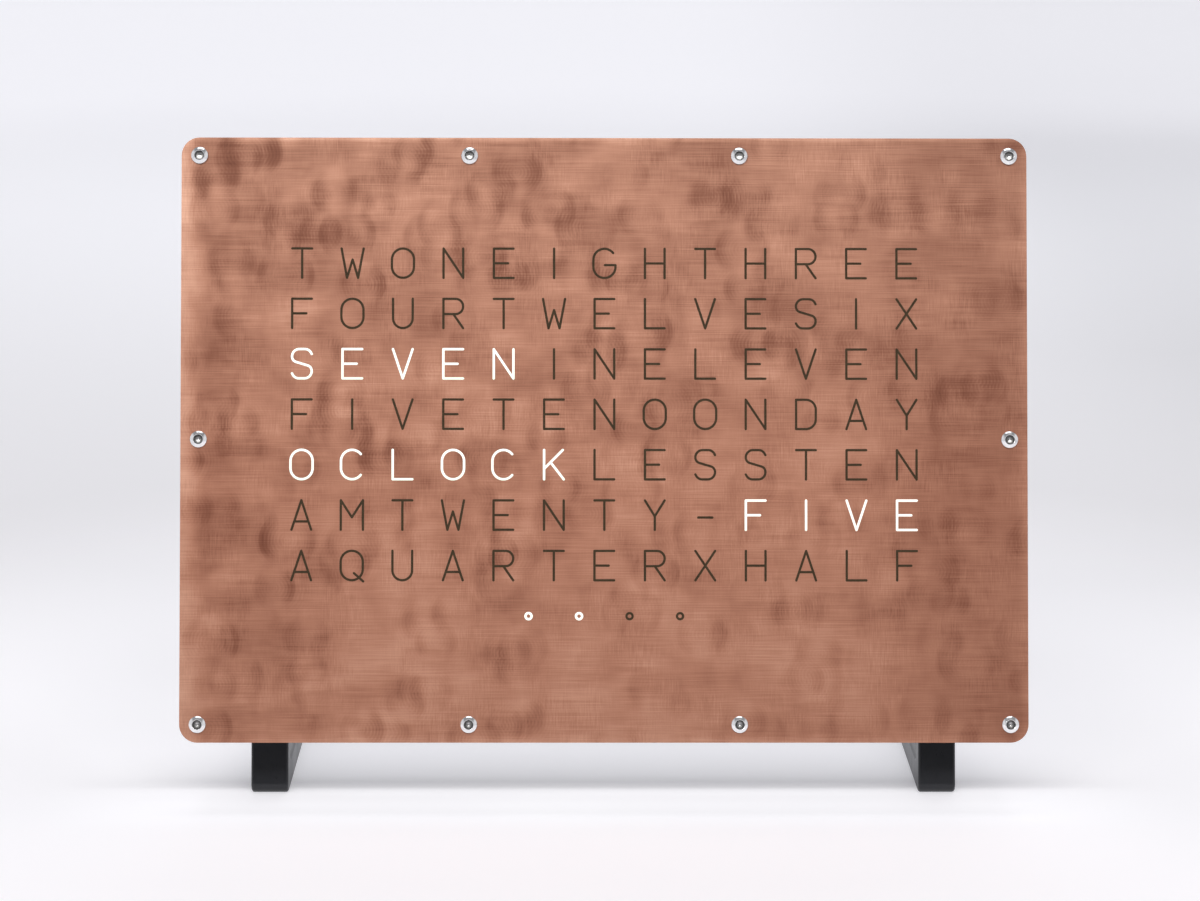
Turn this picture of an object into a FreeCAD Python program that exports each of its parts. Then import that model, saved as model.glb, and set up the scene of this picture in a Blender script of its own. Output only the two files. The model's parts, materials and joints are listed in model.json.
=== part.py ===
"""Word clock: a milled copper face on a leaning case, lit from behind, on two L-shaped feet.

Every piece is drawn in the clock's own upright frame and then leaned back with it:
x runs across the face, y runs backwards from the face's front surface, and z runs up
the face from its bottom edge.  The finished part stands on z = 0 and faces -Y.
"""
import FreeCAD, Part
import math
import os
import re
import Sketcher

SIZES = (
    # the face
    ("side_margin", 31.6645, "cells of the first and last letters to the face's sides"),
    ("end_margin", 33.332, "cells of the top and bottom rows to the face's edges"),
    ("panel_corner", 6.0, "radius of the panel's corners"),
    ("panel_thickness", 1.5, "fibreglass of the front panel"),
    ("copper_thickness", 0.1, "copper layer on the fibreglass"),
    ("lean_angle", 13.5, "degrees that the face leans back"),
    ("face_clearance", 24.0, "floor to the face's bottom edge"),
    # the letters
    ("letter_pitch", 16.667, "from one letter to the next, both ways"),
    ("letter_height", 9.7, "centre line of a letter, up"),
    ("letter_width", 6.5, "centre line of a straight letter, across"),
    ("round_letter_width", 7.3, "centre line of a round or wide letter, across"),
    ("letter_stroke", 0.8, "width of the milled groove"),
    ("dot_diameter", 2.8, "outside of a minute dot's ring"),
    ("dot_centre_diameter", 1.2, "copper left inside the ring"),
    # the case
    ("case_inset", 1.5, "case inside the panel's edge, all round"),
    ("case_wall", 10.5, "wall of the case frame"),
    ("case_depth", 24.0, "face's front to the rear cover's outside"),
    ("cover_thickness", 2.5, "rear cover"),
    ("lug_reach", 9.0, "lug inside the frame's wall"),
    ("lug_height", 12.0, "lug, up the face"),
    ("lug_spacing", 48.0, "from one lug to the next, up the face"),
    # the light path
    ("grid_depth", 8.0, "light grid, front to back"),
    ("grid_wall", 1.6, "wall between two cells"),
    ("strip_width", 10.0, "light strip, across its length"),
    ("strip_thickness", 0.4, "light strip without its lamps"),
    ("led_width", 5.0, "square lamp package"),
    ("led_height", 1.6, "lamp package over the strip"),
    ("led_window_diameter", 4.2, "round window of the lamp"),
    ("led_window_depth", 0.3, "window under the package's rim"),
    ("link_reach", 5.5, "ribbon past the end of the strips"),
    ("link_width", 6.0, "ribbon over each strip it joins"),
    ("backing_thickness", 2.0, "plate behind the strips"),
    ("backing_gap", 1.5, "backing plate to the frame's wall"),
    # fasteners
    ("screw_inset", 6.0, "face screw to the panel's edge"),
    ("screw_diameter", 3.0, "thread of the face and cover screws"),
    ("screw_head_diameter", 5.5, "button head"),
    ("screw_head_height", 1.65, "button head"),
    ("screw_socket_width", 2.5, "across the flats of the hexagon socket"),
    ("screw_length", 8.0, "under the head"),
    ("plate_screw_length", 6.0, "backing plate screws, under the head"),
    ("insert_diameter", 4.6, "brass insert, outside"),
    ("insert_length", 5.7, "brass insert"),
    ("tip_room", 1.3, "hole past the end of a screw or insert"),
    ("hole_gap", 0.1, "clearance round a screw in a plain hole"),
    ("thread_gap", 0.04, "clearance between two threads"),
    ("foot_screw_diameter", 4.0, "thread of the foot screws"),
    ("foot_screw_head_diameter", 7.6, "button head"),
    ("foot_screw_head_height", 2.2, "button head"),
    ("foot_screw_socket_width", 2.5, "across the flats"),
    ("foot_nut_width", 7.0, "across the flats"),
    ("foot_nut_height", 3.2, "hexagon nut inside the cover"),
    # the feet
    ("foot_width", 12.5, "foot, across"),
    ("foot_inset", 15.6, "middle of a foot inside the frame's wall"),
    ("foot_limb_thickness", 7.0, "limb behind the case"),
    ("foot_base_thickness", 9.0, "limb on the floor"),
    ("foot_base_length", 92.0, "limb on the floor, front to back"),
    ("foot_limb_top", 68.0, "top of the limb over the face's bottom edge"),
    ("foot_bend_radius", 3.0, "outside of the bend"),
    ("foot_inner_radius", 3.5, "inside of the bend"),
    ("foot_end_radius", 2.5, "ends of both limbs"),
    ("foot_edge_radius", 1.0, "long edges"),
    ("foot_screw_low", 24.0, "lower foot screw over the face's bottom edge"),
    ("foot_screw_pitch", 30.0, "lower foot screw to the upper one"),
    # the controller
    ("board_width", 84.0, "controller board, across"),
    ("board_height", 52.0, "controller board, up the face"),
    ("board_thickness", 1.6, "controller board"),
    ("board_middle_height", 84.0, "board's middle over the face's bottom edge"),
    ("board_hole_inset", 3.5, "board's screws to its edges"),
    ("board_standoff", 2.0, "spacers under the board"),
    ("part_offset", 21.0, "module and coin cell beside the board's middle"),
    ("part_rise", 5.2, "module and coin cell over the board's middle"),
    ("driver_drop", 13.0, "lamp driver chip under the board's middle"),
    ("spacer_diameter", 5.0, "spacer, outside"),
    ("board_screw_diameter", 2.5, "thread of the board screws"),
    ("board_screw_head_diameter", 4.5, "button head"),
    ("board_screw_head_height", 1.3, "button head"),
    ("board_screw_socket_width", 1.5, "across the flats"),
    ("module_width", 18.0, "processor module, across"),
    ("module_height", 26.0, "processor module, up the face"),
    ("module_thickness", 0.8, "processor module's own board"),
    ("can_width", 15.0, "module's metal can, across"),
    ("can_height", 17.0, "module's metal can, up the face"),
    ("can_thickness", 2.4, "module's metal can"),
    ("clock_chip_width", 10.3, "timekeeping chip, across"),
    ("clock_chip_height", 7.5, "timekeeping chip, up the face"),
    ("clock_chip_thickness", 2.4, "timekeeping chip"),
    ("logic_chip_width", 8.7, "lamp driver chip, across"),
    ("logic_chip_height", 4.0, "lamp driver chip, up the face"),
    ("logic_chip_thickness", 1.5, "lamp driver chip"),
    ("cell_diameter", 20.0, "coin cell"),
    ("cell_thickness", 3.2, "coin cell"),
    ("cell_gap", 0.15, "coin cell in its holder"),
    ("holder_width", 24.0, "coin cell holder, square"),
    ("holder_floor", 0.8, "holder under the cell"),
    ("holder_rim", 2.6, "holder round the cell"),
    ("capacitor_diameter", 8.0, "smoothing capacitor"),
    ("capacitor_height", 5.2, "smoothing capacitor with its base"),
    ("capacitor_base_width", 8.4, "square base of the capacitor"),
    ("capacitor_base_height", 1.0, "square base of the capacitor"),
    ("socket_width", 7.5, "lead socket, across"),
    ("socket_height", 6.0, "lead socket, up the face"),
    ("socket_thickness", 5.0, "lead socket over the board"),
    ("socket_pitch", 10.5, "one button's lead socket to the other"),
    ("socket_gap", 0.5, "lead socket to the screw or part beside it"),
    # the power inlet
    ("port_height", 22.0, "inlet and buttons over the face's bottom edge"),
    ("inlet_offset", 32.0, "inlet beside the clock's middle"),
    ("inlet_flange_diameter", 11.0, "rim outside the cover"),
    ("inlet_flange_height", 1.5, "rim outside the cover"),
    ("inlet_barrel_diameter", 8.0, "threaded barrel"),
    ("inlet_barrel_length", 14.0, "barrel under the rim"),
    ("inlet_bore_diameter", 5.8, "socket for a 5.5 mm plug"),
    ("inlet_bore_depth", 9.5, "socket"),
    ("inlet_pin_diameter", 2.0, "centre pin"),
    ("inlet_pin_recess", 0.8, "pin's tip under the socket's mouth"),
    ("inlet_pin_root", 2.5, "pin held in the barrel's floor"),
    ("inlet_nut_width", 11.0, "across the flats"),
    ("inlet_nut_height", 2.0, "nut inside the cover"),
    # the setting buttons
    ("button_offset", 26.0, "nearer button beside the clock's middle"),
    ("button_pitch", 18.0, "one button to the other"),
    ("button_body_diameter", 10.0, "button housing inside the cover"),
    ("button_body_length", 11.0, "button housing inside the cover"),
    ("button_floor", 3.2, "closed end of the housing"),
    ("button_bush_diameter", 7.0, "threaded bush through the cover"),
    ("button_bush_length", 3.6, "bush outside the cover"),
    ("button_shoulder", 1.6, "housing between its chamber and its bush"),
    ("button_chamber_diameter", 7.6, "hollow of the housing"),
    ("button_stem_diameter", 5.0, "moving button"),
    ("button_stem_gap", 0.08, "running clearance of the button"),
    ("button_collar_diameter", 6.9, "collar that keeps the button in"),
    ("button_collar_height", 1.2, "collar"),
    ("button_rest_gap", 0.1, "collar to its shoulder at rest"),
    ("button_stand", 3.4, "button outside its bush at rest"),
    ("button_edge", 0.7, "rounding of the button's tip"),
    ("button_nut_width", 9.0, "across the flats"),
    ("button_nut_height", 2.0, "nut outside the cover"),
    # the leads inside the case
    ("power_lead_diameter", 3.0, "inlet to the board"),
    ("button_lead_diameter", 1.8, "each button to the board"),
    ("strip_lead_diameter", 3.0, "board to the first strip"),
    ("feed_gap", 0.2, "clearance round the strip lead in the backing plate"),
)

LETTER_ROWS = (
    "TWONEIGHTHREE",
    "FOURTWELVESIX",
    "SEVENINELEVEN",
    "FIVETENOONDAY",
    "OCLOCKLESSTEN",
    "AMTWENTY-FIVE",
    "AQUARTERXHALF",
)
COLUMNS = len(LETTER_ROWS[0])
ROWS = len(LETTER_ROWS) + 1
MINUTE_DOTS = 4
MINUTE_LAMPS = COLUMNS - 1
FULL_TURN = 360.0
HALF_TURN = 180.0
HEXAGON_SIDES = 6
TINY = 1e-4

VECTOR = FreeCAD.Vector
document = FreeCAD.newDocument("word_clock")
sheet = document.addObject("Spreadsheet::Sheet", "Sizes")
for line, (alias, value, note) in enumerate(SIZES, 1):
    sheet.set("A%d" % line, alias)
    sheet.set("B%d" % line, str(value))
    sheet.set("C%d" % line, note)
    sheet.setAlias("B%d" % line, alias)
document.recompute()

ALIAS = re.compile(r"[a-z]+(?:_[a-z]+)+")
pieces = []


def bound(text):
    """The text as an expression on the sheet's cells: each size's name has an underscore."""
    return ALIAS.sub(lambda name: "Sizes." + name.group(0), text)


def size(text):
    """The text's value in millimetres, degrees or as a plain number."""
    return float(sheet.evalExpression(bound(text)))


# Places in the clock's own frame, as text on the sheet's sizes.
PANEL_BACK = "(copper_thickness + panel_thickness)"
GRID_BACK = "(%s + grid_depth)" % PANEL_BACK
STRIP_BACK = "(%s + strip_thickness)" % GRID_BACK
BACKING_BACK = "(%s + backing_thickness)" % STRIP_BACK
BOARD_FRONT = "(%s + board_standoff)" % BACKING_BACK
BOARD_BACK = "(%s + board_thickness)" % BOARD_FRONT
COVER_FRONT = "(case_depth - cover_thickness)"
HALF_WIDTH = "(%d * letter_pitch / 2 + side_margin)" % COLUMNS
FACE_HEIGHT = "(%d * letter_pitch + 2 * end_margin)" % ROWS
CASE_HALF_WIDTH = "(%s - case_inset)" % HALF_WIDTH
OPENING_HALF_WIDTH = "(%s - case_wall)" % CASE_HALF_WIDTH
OPENING_BOTTOM = "(case_inset + case_wall)"
OPENING_TOP = "(%s - case_inset - case_wall)" % FACE_HEIGHT
MIDDLE_HEIGHT = "(%s / 2)" % FACE_HEIGHT
GRID_HALF_WIDTH = "((%d * letter_pitch + grid_wall) / 2)" % COLUMNS
GRID_HALF_HEIGHT = "((%d * letter_pitch + grid_wall) / 2)" % ROWS
STRIP_HALF_LENGTH = "(%d * letter_pitch / 2)" % COLUMNS
MINUTE_STRIP_HALF_LENGTH = "(%d * letter_pitch / 2)" % MINUTE_LAMPS
FOOT_ACROSS = "(%s - foot_inset)" % OPENING_HALF_WIDTH
LIMB_BACK = "(case_depth + foot_limb_thickness)"

# The foot's corner lies on the floor under the case's back.
FOOT_CORNER = "((case_depth * sin(lean_angle) - face_clearance) / cos(lean_angle))"
FOOT_INNER = ("((%s * sin(lean_angle) + foot_base_thickness - face_clearance)"
              " / cos(lean_angle))" % LIMB_BACK)

# A button head is a low dome with a hexagon socket: the dome's rounding and the socket's
# depth are shares of the head's height.
DOME_SHARE = 0.75
SOCKET_SHARE = 0.64

# The part's origin is under the middle of its depth: from the domes of the lowest face
# screws to the feet's back ends.
DOME_RADIUS = "(screw_head_height * %g)" % DOME_SHARE
FRONT_REACH = ("((screw_head_height - %s) * cos(lean_angle) + %s"
               " - (screw_inset - screw_head_diameter / 2 + %s) * sin(lean_angle))"
               % (DOME_RADIUS, DOME_RADIUS, DOME_RADIUS))
BACK_REACH = ("(case_depth * cos(lean_angle) + %s * sin(lean_angle) + foot_base_length)"
              % FOOT_CORNER)
FACE_PLACE = "((%s - %s) / 2)" % (FRONT_REACH, BACK_REACH)


def column_place(column):
    """Across the face, from its middle, for a column counted from the left."""
    return "(%g * letter_pitch)" % (column - (COLUMNS - 1) / 2)


def row_place(row):
    """Up the face for a row counted from the top."""
    return "(%s + %g * letter_pitch)" % (MIDDLE_HEIGHT, (ROWS - 1) / 2 - row)


def lamp_columns(row):
    """Where a row's lamps are: the minute row has one fewer, between the letters' columns."""
    if row < ROWS - 1:
        return list(range(COLUMNS))
    return [column + 0.5 for column in range(MINUTE_LAMPS)]


def lean(piece, across="0", back="0", up="0", turn="lean_angle"):
    """Leans a piece back with the face, from its place in the clock's own frame."""
    axis = VECTOR(-1, 0, 0)
    piece.Placement = FreeCAD.Placement(VECTOR(), FreeCAD.Rotation(axis, size(turn)))
    piece.setExpression("Placement.Rotation.Angle", bound(turn))
    piece.setExpression("Placement.Base.x", bound(across))
    piece.setExpression("Placement.Base.y", bound(
        "%s + (%s) * cos(lean_angle) + (%s) * sin(lean_angle)" % (FACE_PLACE, back, up)))
    piece.setExpression("Placement.Base.z", bound(
        "face_clearance - (%s) * sin(lean_angle) + (%s) * cos(lean_angle)" % (back, up)))


def keep(piece, name):
    """Names a finished piece, which is then written to its own file."""
    piece.Label = name
    pieces.append(piece)
    return piece


def sketch(body, name, role="XZ_Plane", back="0"):
    """A sketch on one of the body's own planes; on the face's plane, moved back by a depth."""
    drawing = body.newObject("Sketcher::SketchObject", name)
    plane = [item for item in body.Origin.OriginFeatures if item.Role == role][0]
    drawing.AttachmentSupport = [(plane, "")]
    drawing.MapMode = "FlatFace"
    if role == "XZ_Plane":
        drawing.setExpression("AttachmentOffset.Base.z", bound("-(%s)" % back))
        document.recompute()
    return drawing


def pin_point(drawing, geometry, point, across, up):
    """Ties a point of the sketch to its two distances from the sketch's origin."""
    for kind, text in (("DistanceX", across), ("DistanceY", up)):
        rule = drawing.addConstraint(
            Sketcher.Constraint(kind, -1, 1, geometry, point, size(text)))
        drawing.setExpression("Constraints[%d]" % rule, bound(text))


def outline(drawing, corners):
    """A closed outline of straight lines, with every corner tied to the sheet."""
    places = [VECTOR(size(across), size(up), 0) for across, up in corners]
    first = drawing.GeometryCount
    count = len(places)
    for k in range(count):
        drawing.addGeometry(Part.LineSegment(places[k], places[(k + 1) % count]))
    for k in range(count):
        after = first + (k + 1) % count
        drawing.addConstraint(Sketcher.Constraint("Coincident", first + k, 2, after, 1))
    for k, (across, up) in enumerate(corners):
        pin_point(drawing, first + k, 1, across, up)


def circles(drawing, places, diameter):
    """A circle of one size at each place, all tied to the sheet."""
    for across, up in places:
        middle = VECTOR(size(across), size(up), 0)
        radius = size("(%s) / 2" % diameter)
        ring = drawing.addGeometry(Part.Circle(middle, VECTOR(0, 0, 1), radius))
        pin_point(drawing, ring, 3, across, up)
        rule = drawing.addConstraint(Sketcher.Constraint("Radius", ring, radius))
        drawing.setExpression("Constraints[%d]" % rule, bound("(%s) / 2" % diameter))


def rectangle(left, bottom, right, top):
    """The four corners of an upright rectangle."""
    return [(left, bottom), (right, bottom), (right, top), (left, top)]


def pad(body, drawing, length):
    """Adds the sketch's outline to the body, backwards from the sketch."""
    feature = body.newObject("PartDesign::Pad", drawing.Name + "_pad")
    feature.Profile = drawing
    feature.setExpression("Length", bound(length))
    feature.Reversed = True
    document.recompute()
    return feature


def pocket(body, drawing, length):
    """Cuts the sketch's outline from the body, backwards from the sketch."""
    before = body.Shape.Volume
    feature = body.newObject("PartDesign::Pocket", drawing.Name + "_pocket")
    feature.Profile = drawing
    feature.setExpression("Length", bound(length))
    document.recompute()
    if body.Shape.Volume >= before:
        raise RuntimeError(drawing.Name + " cuts nothing")
    return feature


def drill(body, name, places, diameter, back, length):
    """Round holes, straight back from a depth."""
    drawing = sketch(body, name, back=back)
    circles(drawing, places, diameter)
    return pocket(body, drawing, length)


def round_edges(body, name, radius, wanted):
    """Rounds each edge that the test picks."""
    document.recompute()
    base = body.Tip
    edges = ["Edge%d" % (k + 1) for k, edge in enumerate(base.Shape.Edges) if wanted(edge)]
    if not edges:
        raise RuntimeError(name + " finds no edge")
    feature = body.newObject("PartDesign::Fillet", name)
    feature.Base = (base, edges)
    feature.setExpression("Radius", bound(radius))
    document.recompute()
    return feature


def runs_back(edge):
    """Whether an edge is straight and runs from front to back."""
    if not isinstance(edge.Curve, Part.Line):
        return False
    return abs(edge.Curve.Direction.y) > 0.999


def slab(name, corners, back, thickness, corner=None):
    """A flat piece across the face: an outline, a depth and a thickness."""
    body = document.addObject("PartDesign::Body", name)
    drawing = sketch(body, name + "_outline", back=back)
    outline(drawing, corners)
    pad(body, drawing, thickness)
    if corner:
        round_edges(body, name + "_corners", corner, runs_back)
    return body


def turned(name, profile):
    """A piece turned about the y axis from a profile of (radius, depth) corners."""
    body = document.addObject("PartDesign::Body", name)
    drawing = sketch(body, name + "_profile", role="XY_Plane")
    outline(drawing, profile)
    feature = body.newObject("PartDesign::Revolution", name + "_turn")
    feature.Profile = drawing
    feature.ReferenceAxis = (drawing, ["V_Axis"])
    feature.Angle = FULL_TURN
    document.recompute()
    return body


def hexagon(width):
    """The corners of a hexagon about the origin, from its width across the flats."""
    reach = "(%s) / sqrt(3)" % width
    turns = [FULL_TURN * k / HEXAGON_SIDES for k in range(HEXAGON_SIDES)]
    return [("%s * cos(%g)" % (reach, turn), "%s * sin(%g)" % (reach, turn)) for turn in turns]


def end_ring(depth):
    """A test for the round edge at the end of a turned piece, at one depth."""
    def test(edge):
        return len(edge.Vertexes) == 1 and abs(edge.CenterOfMass.y - depth) < TINY
    return test


def button_screw(name, diameter, head_diameter, head_height, socket_width, length):
    """A button-head screw with its head's underside on y = 0 and its thread behind."""
    body = turned(name, [
        ("0", "-(%s)" % head_height),
        ("(%s) / 2" % head_diameter, "-(%s)" % head_height),
        ("(%s) / 2" % head_diameter, "0"),
        ("(%s) / 2" % diameter, "0"),
        ("(%s) / 2" % diameter, length),
        ("0", length)])
    round_edges(body, name + "_dome", "(%s) * %g" % (head_height, DOME_SHARE),
                end_ring(-size(head_height)))
    drawing = sketch(body, name + "_socket", back="-(%s)" % head_height)
    outline(drawing, hexagon(socket_width))
    pocket(body, drawing, "(%s) * %g" % (head_height, SOCKET_SHARE))
    return body


def ring(name, outer, inner, length):
    """A plain tube along y, from y = 0."""
    return turned(name, [("(%s) / 2" % inner, "0"), ("(%s) / 2" % outer, "0"),
                         ("(%s) / 2" % outer, length), ("(%s) / 2" % inner, length)])


def nut(name, width, bore, height):
    """A hexagon nut about the y axis, from y = 0."""
    body = slab(name, hexagon(width), "0", height)
    drill(body, name + "_bore", [("0", "0")], bore, "0", height)
    return body


def placed(pattern, places, back="0", turned_round=False):
    """The pattern's shape at each place of the face."""
    document.recompute()
    shapes = []
    for across, up in places:
        shape = pattern.Shape.copy()
        if turned_round:
            shape.rotate(VECTOR(), VECTOR(0, 0, 1), HALF_TURN)
        shape.translate(VECTOR(size(across), size(back), size(up)))
        shapes.append(shape)
    return shapes


def group(name, shapes):
    """Separate solids that share one node."""
    together = document.addObject("Part::Feature", name)
    together.Shape = Part.makeCompound(shapes)
    lean(together)
    return keep(together, name)


def copies(name, pattern, places, back="0", turned_round=False):
    """Several of one piece as separate solids: the pattern at each place of the face."""
    return group(name, placed(pattern, places, back, turned_round))


def box(name, left, back, bottom, width, depth, height):
    """A plain block in the clock's own frame."""
    block = document.addObject("Part::Box", name)
    block.setExpression("Length", bound(width))
    block.setExpression("Width", bound(depth))
    block.setExpression("Height", bound(height))
    lean(block, left, back, bottom)
    return block


def fused(name, first, second):
    """Two blocks that are one piece."""
    joined = document.addObject("Part::Fuse", name)
    joined.Base = first
    joined.Tool = second
    return keep(joined, name)


# ---- letters -------------------------------------------------------------------------
# A letter is a few strokes on a unit square: (across, up) or (across, up, rounding), where
# the rounding is a share of the letter's width.  A stroke that ends with CLOSED is a loop.
CLOSED = "closed"
ROUND_LETTERS = "OCQGMW"
ROUND_SHARE = 0.5
BOWL_SHARE = 0.385
LETTER_STROKES = {
    "A": [[(0, 0), (0.5, 1), (1, 0)], [(0.14, 0.28), (0.86, 0.28)]],
    "D": [[(0, 0), (0, 1), (1, 1, ROUND_SHARE), (1, 0, ROUND_SHARE), CLOSED]],
    "E": [[(1, 1), (0, 1), (0, 0), (1, 0)], [(0, 0.5), (0.72, 0.5)]],
    "F": [[(1, 1), (0, 1), (0, 0)], [(0, 0.5), (0.72, 0.5)]],
    "H": [[(0, 0), (0, 1)], [(1, 0), (1, 1)], [(0, 0.5), (1, 0.5)]],
    "I": [[(0.5, 0), (0.5, 1)]],
    "K": [[(0, 0), (0, 1)], [(0.95, 1), (0, 0.36)], [(0.33, 0.58), (1, 0)]],
    "L": [[(0, 1), (0, 0), (1, 0)]],
    "M": [[(0, 0), (0, 1), (0.5, 0.42), (1, 1), (1, 0)]],
    "N": [[(0, 0), (0, 1), (1, 0), (1, 1)]],
    "O": [[(0, 0, ROUND_SHARE), (0, 1, ROUND_SHARE),
           (1, 1, ROUND_SHARE), (1, 0, ROUND_SHARE), CLOSED]],
    "R": [[(0, 0), (0, 1)], [(0, 1), (1, 1, BOWL_SHARE), (1, 0.48, BOWL_SHARE), (0, 0.48)],
          [(0.5, 0.48), (1, 0)]],
    "S": [[(1, 0.83), (0.86, 1, 0.35), (0, 1, 0.37), (0, 0.6, 0.29),
           (1, 0.4, 0.29), (1, 0, 0.37), (0.14, 0, 0.35), (0, 0.17)]],
    "T": [[(0, 1), (1, 1)], [(0.5, 1), (0.5, 0)]],
    "U": [[(0, 1), (0, 0, ROUND_SHARE), (1, 0, ROUND_SHARE), (1, 1)]],
    "V": [[(0, 1), (0.5, 0), (1, 1)]],
    "W": [[(0, 1), (0.25, 0), (0.5, 0.62), (0.75, 0), (1, 1)]],
    "X": [[(0, 0), (1, 1)], [(0, 1), (1, 0)]],
    "Y": [[(0, 1), (0.5, 0.46), (1, 1)], [(0.5, 0.46), (0.5, 0)]],
    "-": [[(0.14, 0.42), (0.86, 0.42)]],
}
LETTER_STROKES["Q"] = LETTER_STROKES["O"] + [[(0.6, 0.24), (1.02, -0.04)]]
OPENING_ANGLE = 38.0
BAR_HEIGHT_SHARE = 0.44
BAR_START_SHARE = 0.52


def rounded_edges(points, radii, closed):
    """Straight edges through the points with an arc at each one that has a radius."""
    count = len(points)
    cuts = []
    for k, (point, radius) in enumerate(zip(points, radii)):
        if radius <= 0:
            cuts.append((point, None, point))
            continue
        before = (points[k - 1] - point).normalize()
        after = (points[(k + 1) % count] - point).normalize()
        half = before.getAngle(after) / 2
        reach = radius / math.tan(half)
        middle = (before + after).normalize() * (radius / math.sin(half) - radius)
        cuts.append((point + before * reach, point + middle, point + after * reach))
    edges = []
    for k in range(count):
        start, middle, end = cuts[k]
        if middle is not None:
            edges.append(Part.Arc(start, middle, end).toShape())
        if k + 1 < count or closed:
            nearest = cuts[(k + 1) % count][0]
            if end.distanceToPoint(nearest) > TINY:
                edges.append(Part.LineSegment(end, nearest).toShape())
    return edges


def groove(edges, closed):
    """The flat area that a round cutter of the stroke's width leaves along the edges."""
    half = size("letter_stroke / 2")
    path = Part.Wire(edges)
    if closed:
        outer = path.makeOffset2D(half)
        inner = path.makeOffset2D(-half)
        return Part.makeFace([outer, inner], "Part::FaceMakerBullseye")
    if len(edges) > 1:
        return Part.Face(path.makeOffset2D(half, 0, False, False))
    start, end = (vertex.Point for vertex in path.Vertexes)
    along = (end - start).normalize() * half
    side = along.cross(VECTOR(0, 1, 0))
    sides = [Part.LineSegment(start + side, end + side), Part.LineSegment(end - side, start - side)]
    caps = [Part.Arc(end + side, end + along, end - side),
            Part.Arc(start - side, start - along, start + side)]
    wire = Part.Wire([sides[0].toShape(), caps[0].toShape(), sides[1].toShape(), caps[1].toShape()])
    return Part.Face(wire)


def open_round(letter, width, height):
    """C and G: two half circles on straight sides, open on the right."""
    radius = width / 2

    def on_circle(middle_height, degrees):
        turn = math.radians(degrees)
        return VECTOR(radius * math.cos(turn), 0, middle_height + radius * math.sin(turn))

    def arc(middle_height, first, last):
        halfway = on_circle(middle_height, (first + last) / 2)
        return Part.Arc(on_circle(middle_height, first), halfway, on_circle(middle_height, last))

    top, bottom = height / 2 - radius, radius - height / 2
    last = FULL_TURN - OPENING_ANGLE if letter == "C" else FULL_TURN
    edges = [arc(top, OPENING_ANGLE, HALF_TURN),
             Part.LineSegment(on_circle(top, HALF_TURN), on_circle(bottom, HALF_TURN)),
             arc(bottom, HALF_TURN, last)]
    if letter == "G":
        bar = height * (BAR_HEIGHT_SHARE - 0.5)
        edges.append(Part.LineSegment(on_circle(bottom, last), VECTOR(radius, 0, bar)))
        edges.append(Part.LineSegment(VECTOR(radius, 0, bar),
                                      VECTOR(width * (BAR_START_SHARE - 0.5), 0, bar)))
    return [edge.toShape() for edge in edges]


def letter_area(letter):
    """The whole milled area of one letter about its middle, on the plane y = 0."""
    width = size("round_letter_width" if letter in ROUND_LETTERS else "letter_width")
    height = size("letter_height")
    if letter in "CG":
        return groove(open_round(letter, width, height), False)
    areas = []
    for stroke in LETTER_STROKES[letter]:
        closed = stroke[-1] == CLOSED
        marks = [mark for mark in stroke if mark != CLOSED]
        points = [VECTOR((m[0] - 0.5) * width, 0, (m[1] - 0.5) * height) for m in marks]
        radii = [m[2] * width if len(m) > 2 else 0 for m in marks]
        areas.append(groove(rounded_edges(points, radii, closed), closed))
    if len(areas) == 1:
        return areas[0]
    return areas[0].fuse(areas[1:]).removeSplitter()


def circle_wire(across, up, diameter):
    """A circle on the plane y = 0."""
    middle = VECTOR(across, 0, up)
    return Part.Wire([Part.Circle(middle, VECTOR(0, 1, 0), diameter / 2).toShape()])


def rounded_panel_wire():
    """The panel's outline on the plane y = 0."""
    half, height, corner = size(HALF_WIDTH), size(FACE_HEIGHT), size("panel_corner")
    points = [VECTOR(-half, 0, 0), VECTOR(half, 0, 0),
              VECTOR(half, 0, height), VECTOR(-half, 0, height)]
    return Part.Wire(rounded_edges(points, [corner] * len(points), True))


def copper_areas():
    """The copper that is left after milling: the face first, then what the letters enclose."""
    wires = [rounded_panel_wire()]
    for across, up in FACE_SCREWS:
        wires.append(circle_wire(size(across), size(up), size("screw_diameter + 2 * hole_gap")))
    letters = {letter: letter_area(letter) for letter in sorted(set("".join(LETTER_ROWS)))}
    for row, text in enumerate(LETTER_ROWS):
        for column, letter in enumerate(text):
            place = VECTOR(size(column_place(column)), 0, size(row_place(row)))
            for wire in letters[letter].Wires:
                wires.append(wire.translated(place))
    for dot in range(MINUTE_DOTS):
        across = size(column_place((COLUMNS - MINUTE_DOTS) / 2 + dot))
        up = size(row_place(ROWS - 1))
        wires.append(circle_wire(across, up, size("dot_diameter")))
        wires.append(circle_wire(across, up, size("dot_centre_diameter")))
    return sorted(Part.makeFace(wires, "Part::FaceMakerBullseye").Faces, key=lambda face: -face.Area)


# ---- the face ------------------------------------------------------------------------
SIDE_SCREW = "(%s - screw_inset)" % HALF_WIDTH
TOP_SCREW = "(%s - screw_inset)" % FACE_HEIGHT
CORNER_SCREWS = [("-" + SIDE_SCREW, "screw_inset"), (SIDE_SCREW, "screw_inset"),
                 ("-" + SIDE_SCREW, TOP_SCREW), (SIDE_SCREW, TOP_SCREW)]
SIDE_SCREWS = [("-" + SIDE_SCREW, MIDDLE_HEIGHT), (SIDE_SCREW, MIDDLE_HEIGHT)]
FACE_SCREWS = CORNER_SCREWS + SIDE_SCREWS + [
    ("%s%s / 3" % (sign, SIDE_SCREW), up) for sign in ("-", "") for up in ("screw_inset", TOP_SCREW)]
COVER_SCREWS = CORNER_SCREWS + SIDE_SCREWS + [("0", "screw_inset"), ("0", TOP_SCREW)]
SCREW_HOLE = "screw_diameter + 2 * hole_gap"
INSERT_HOLE = "insert_diameter + 2 * thread_gap"
HOLE_DEPTH = "insert_length + tip_room"

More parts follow.
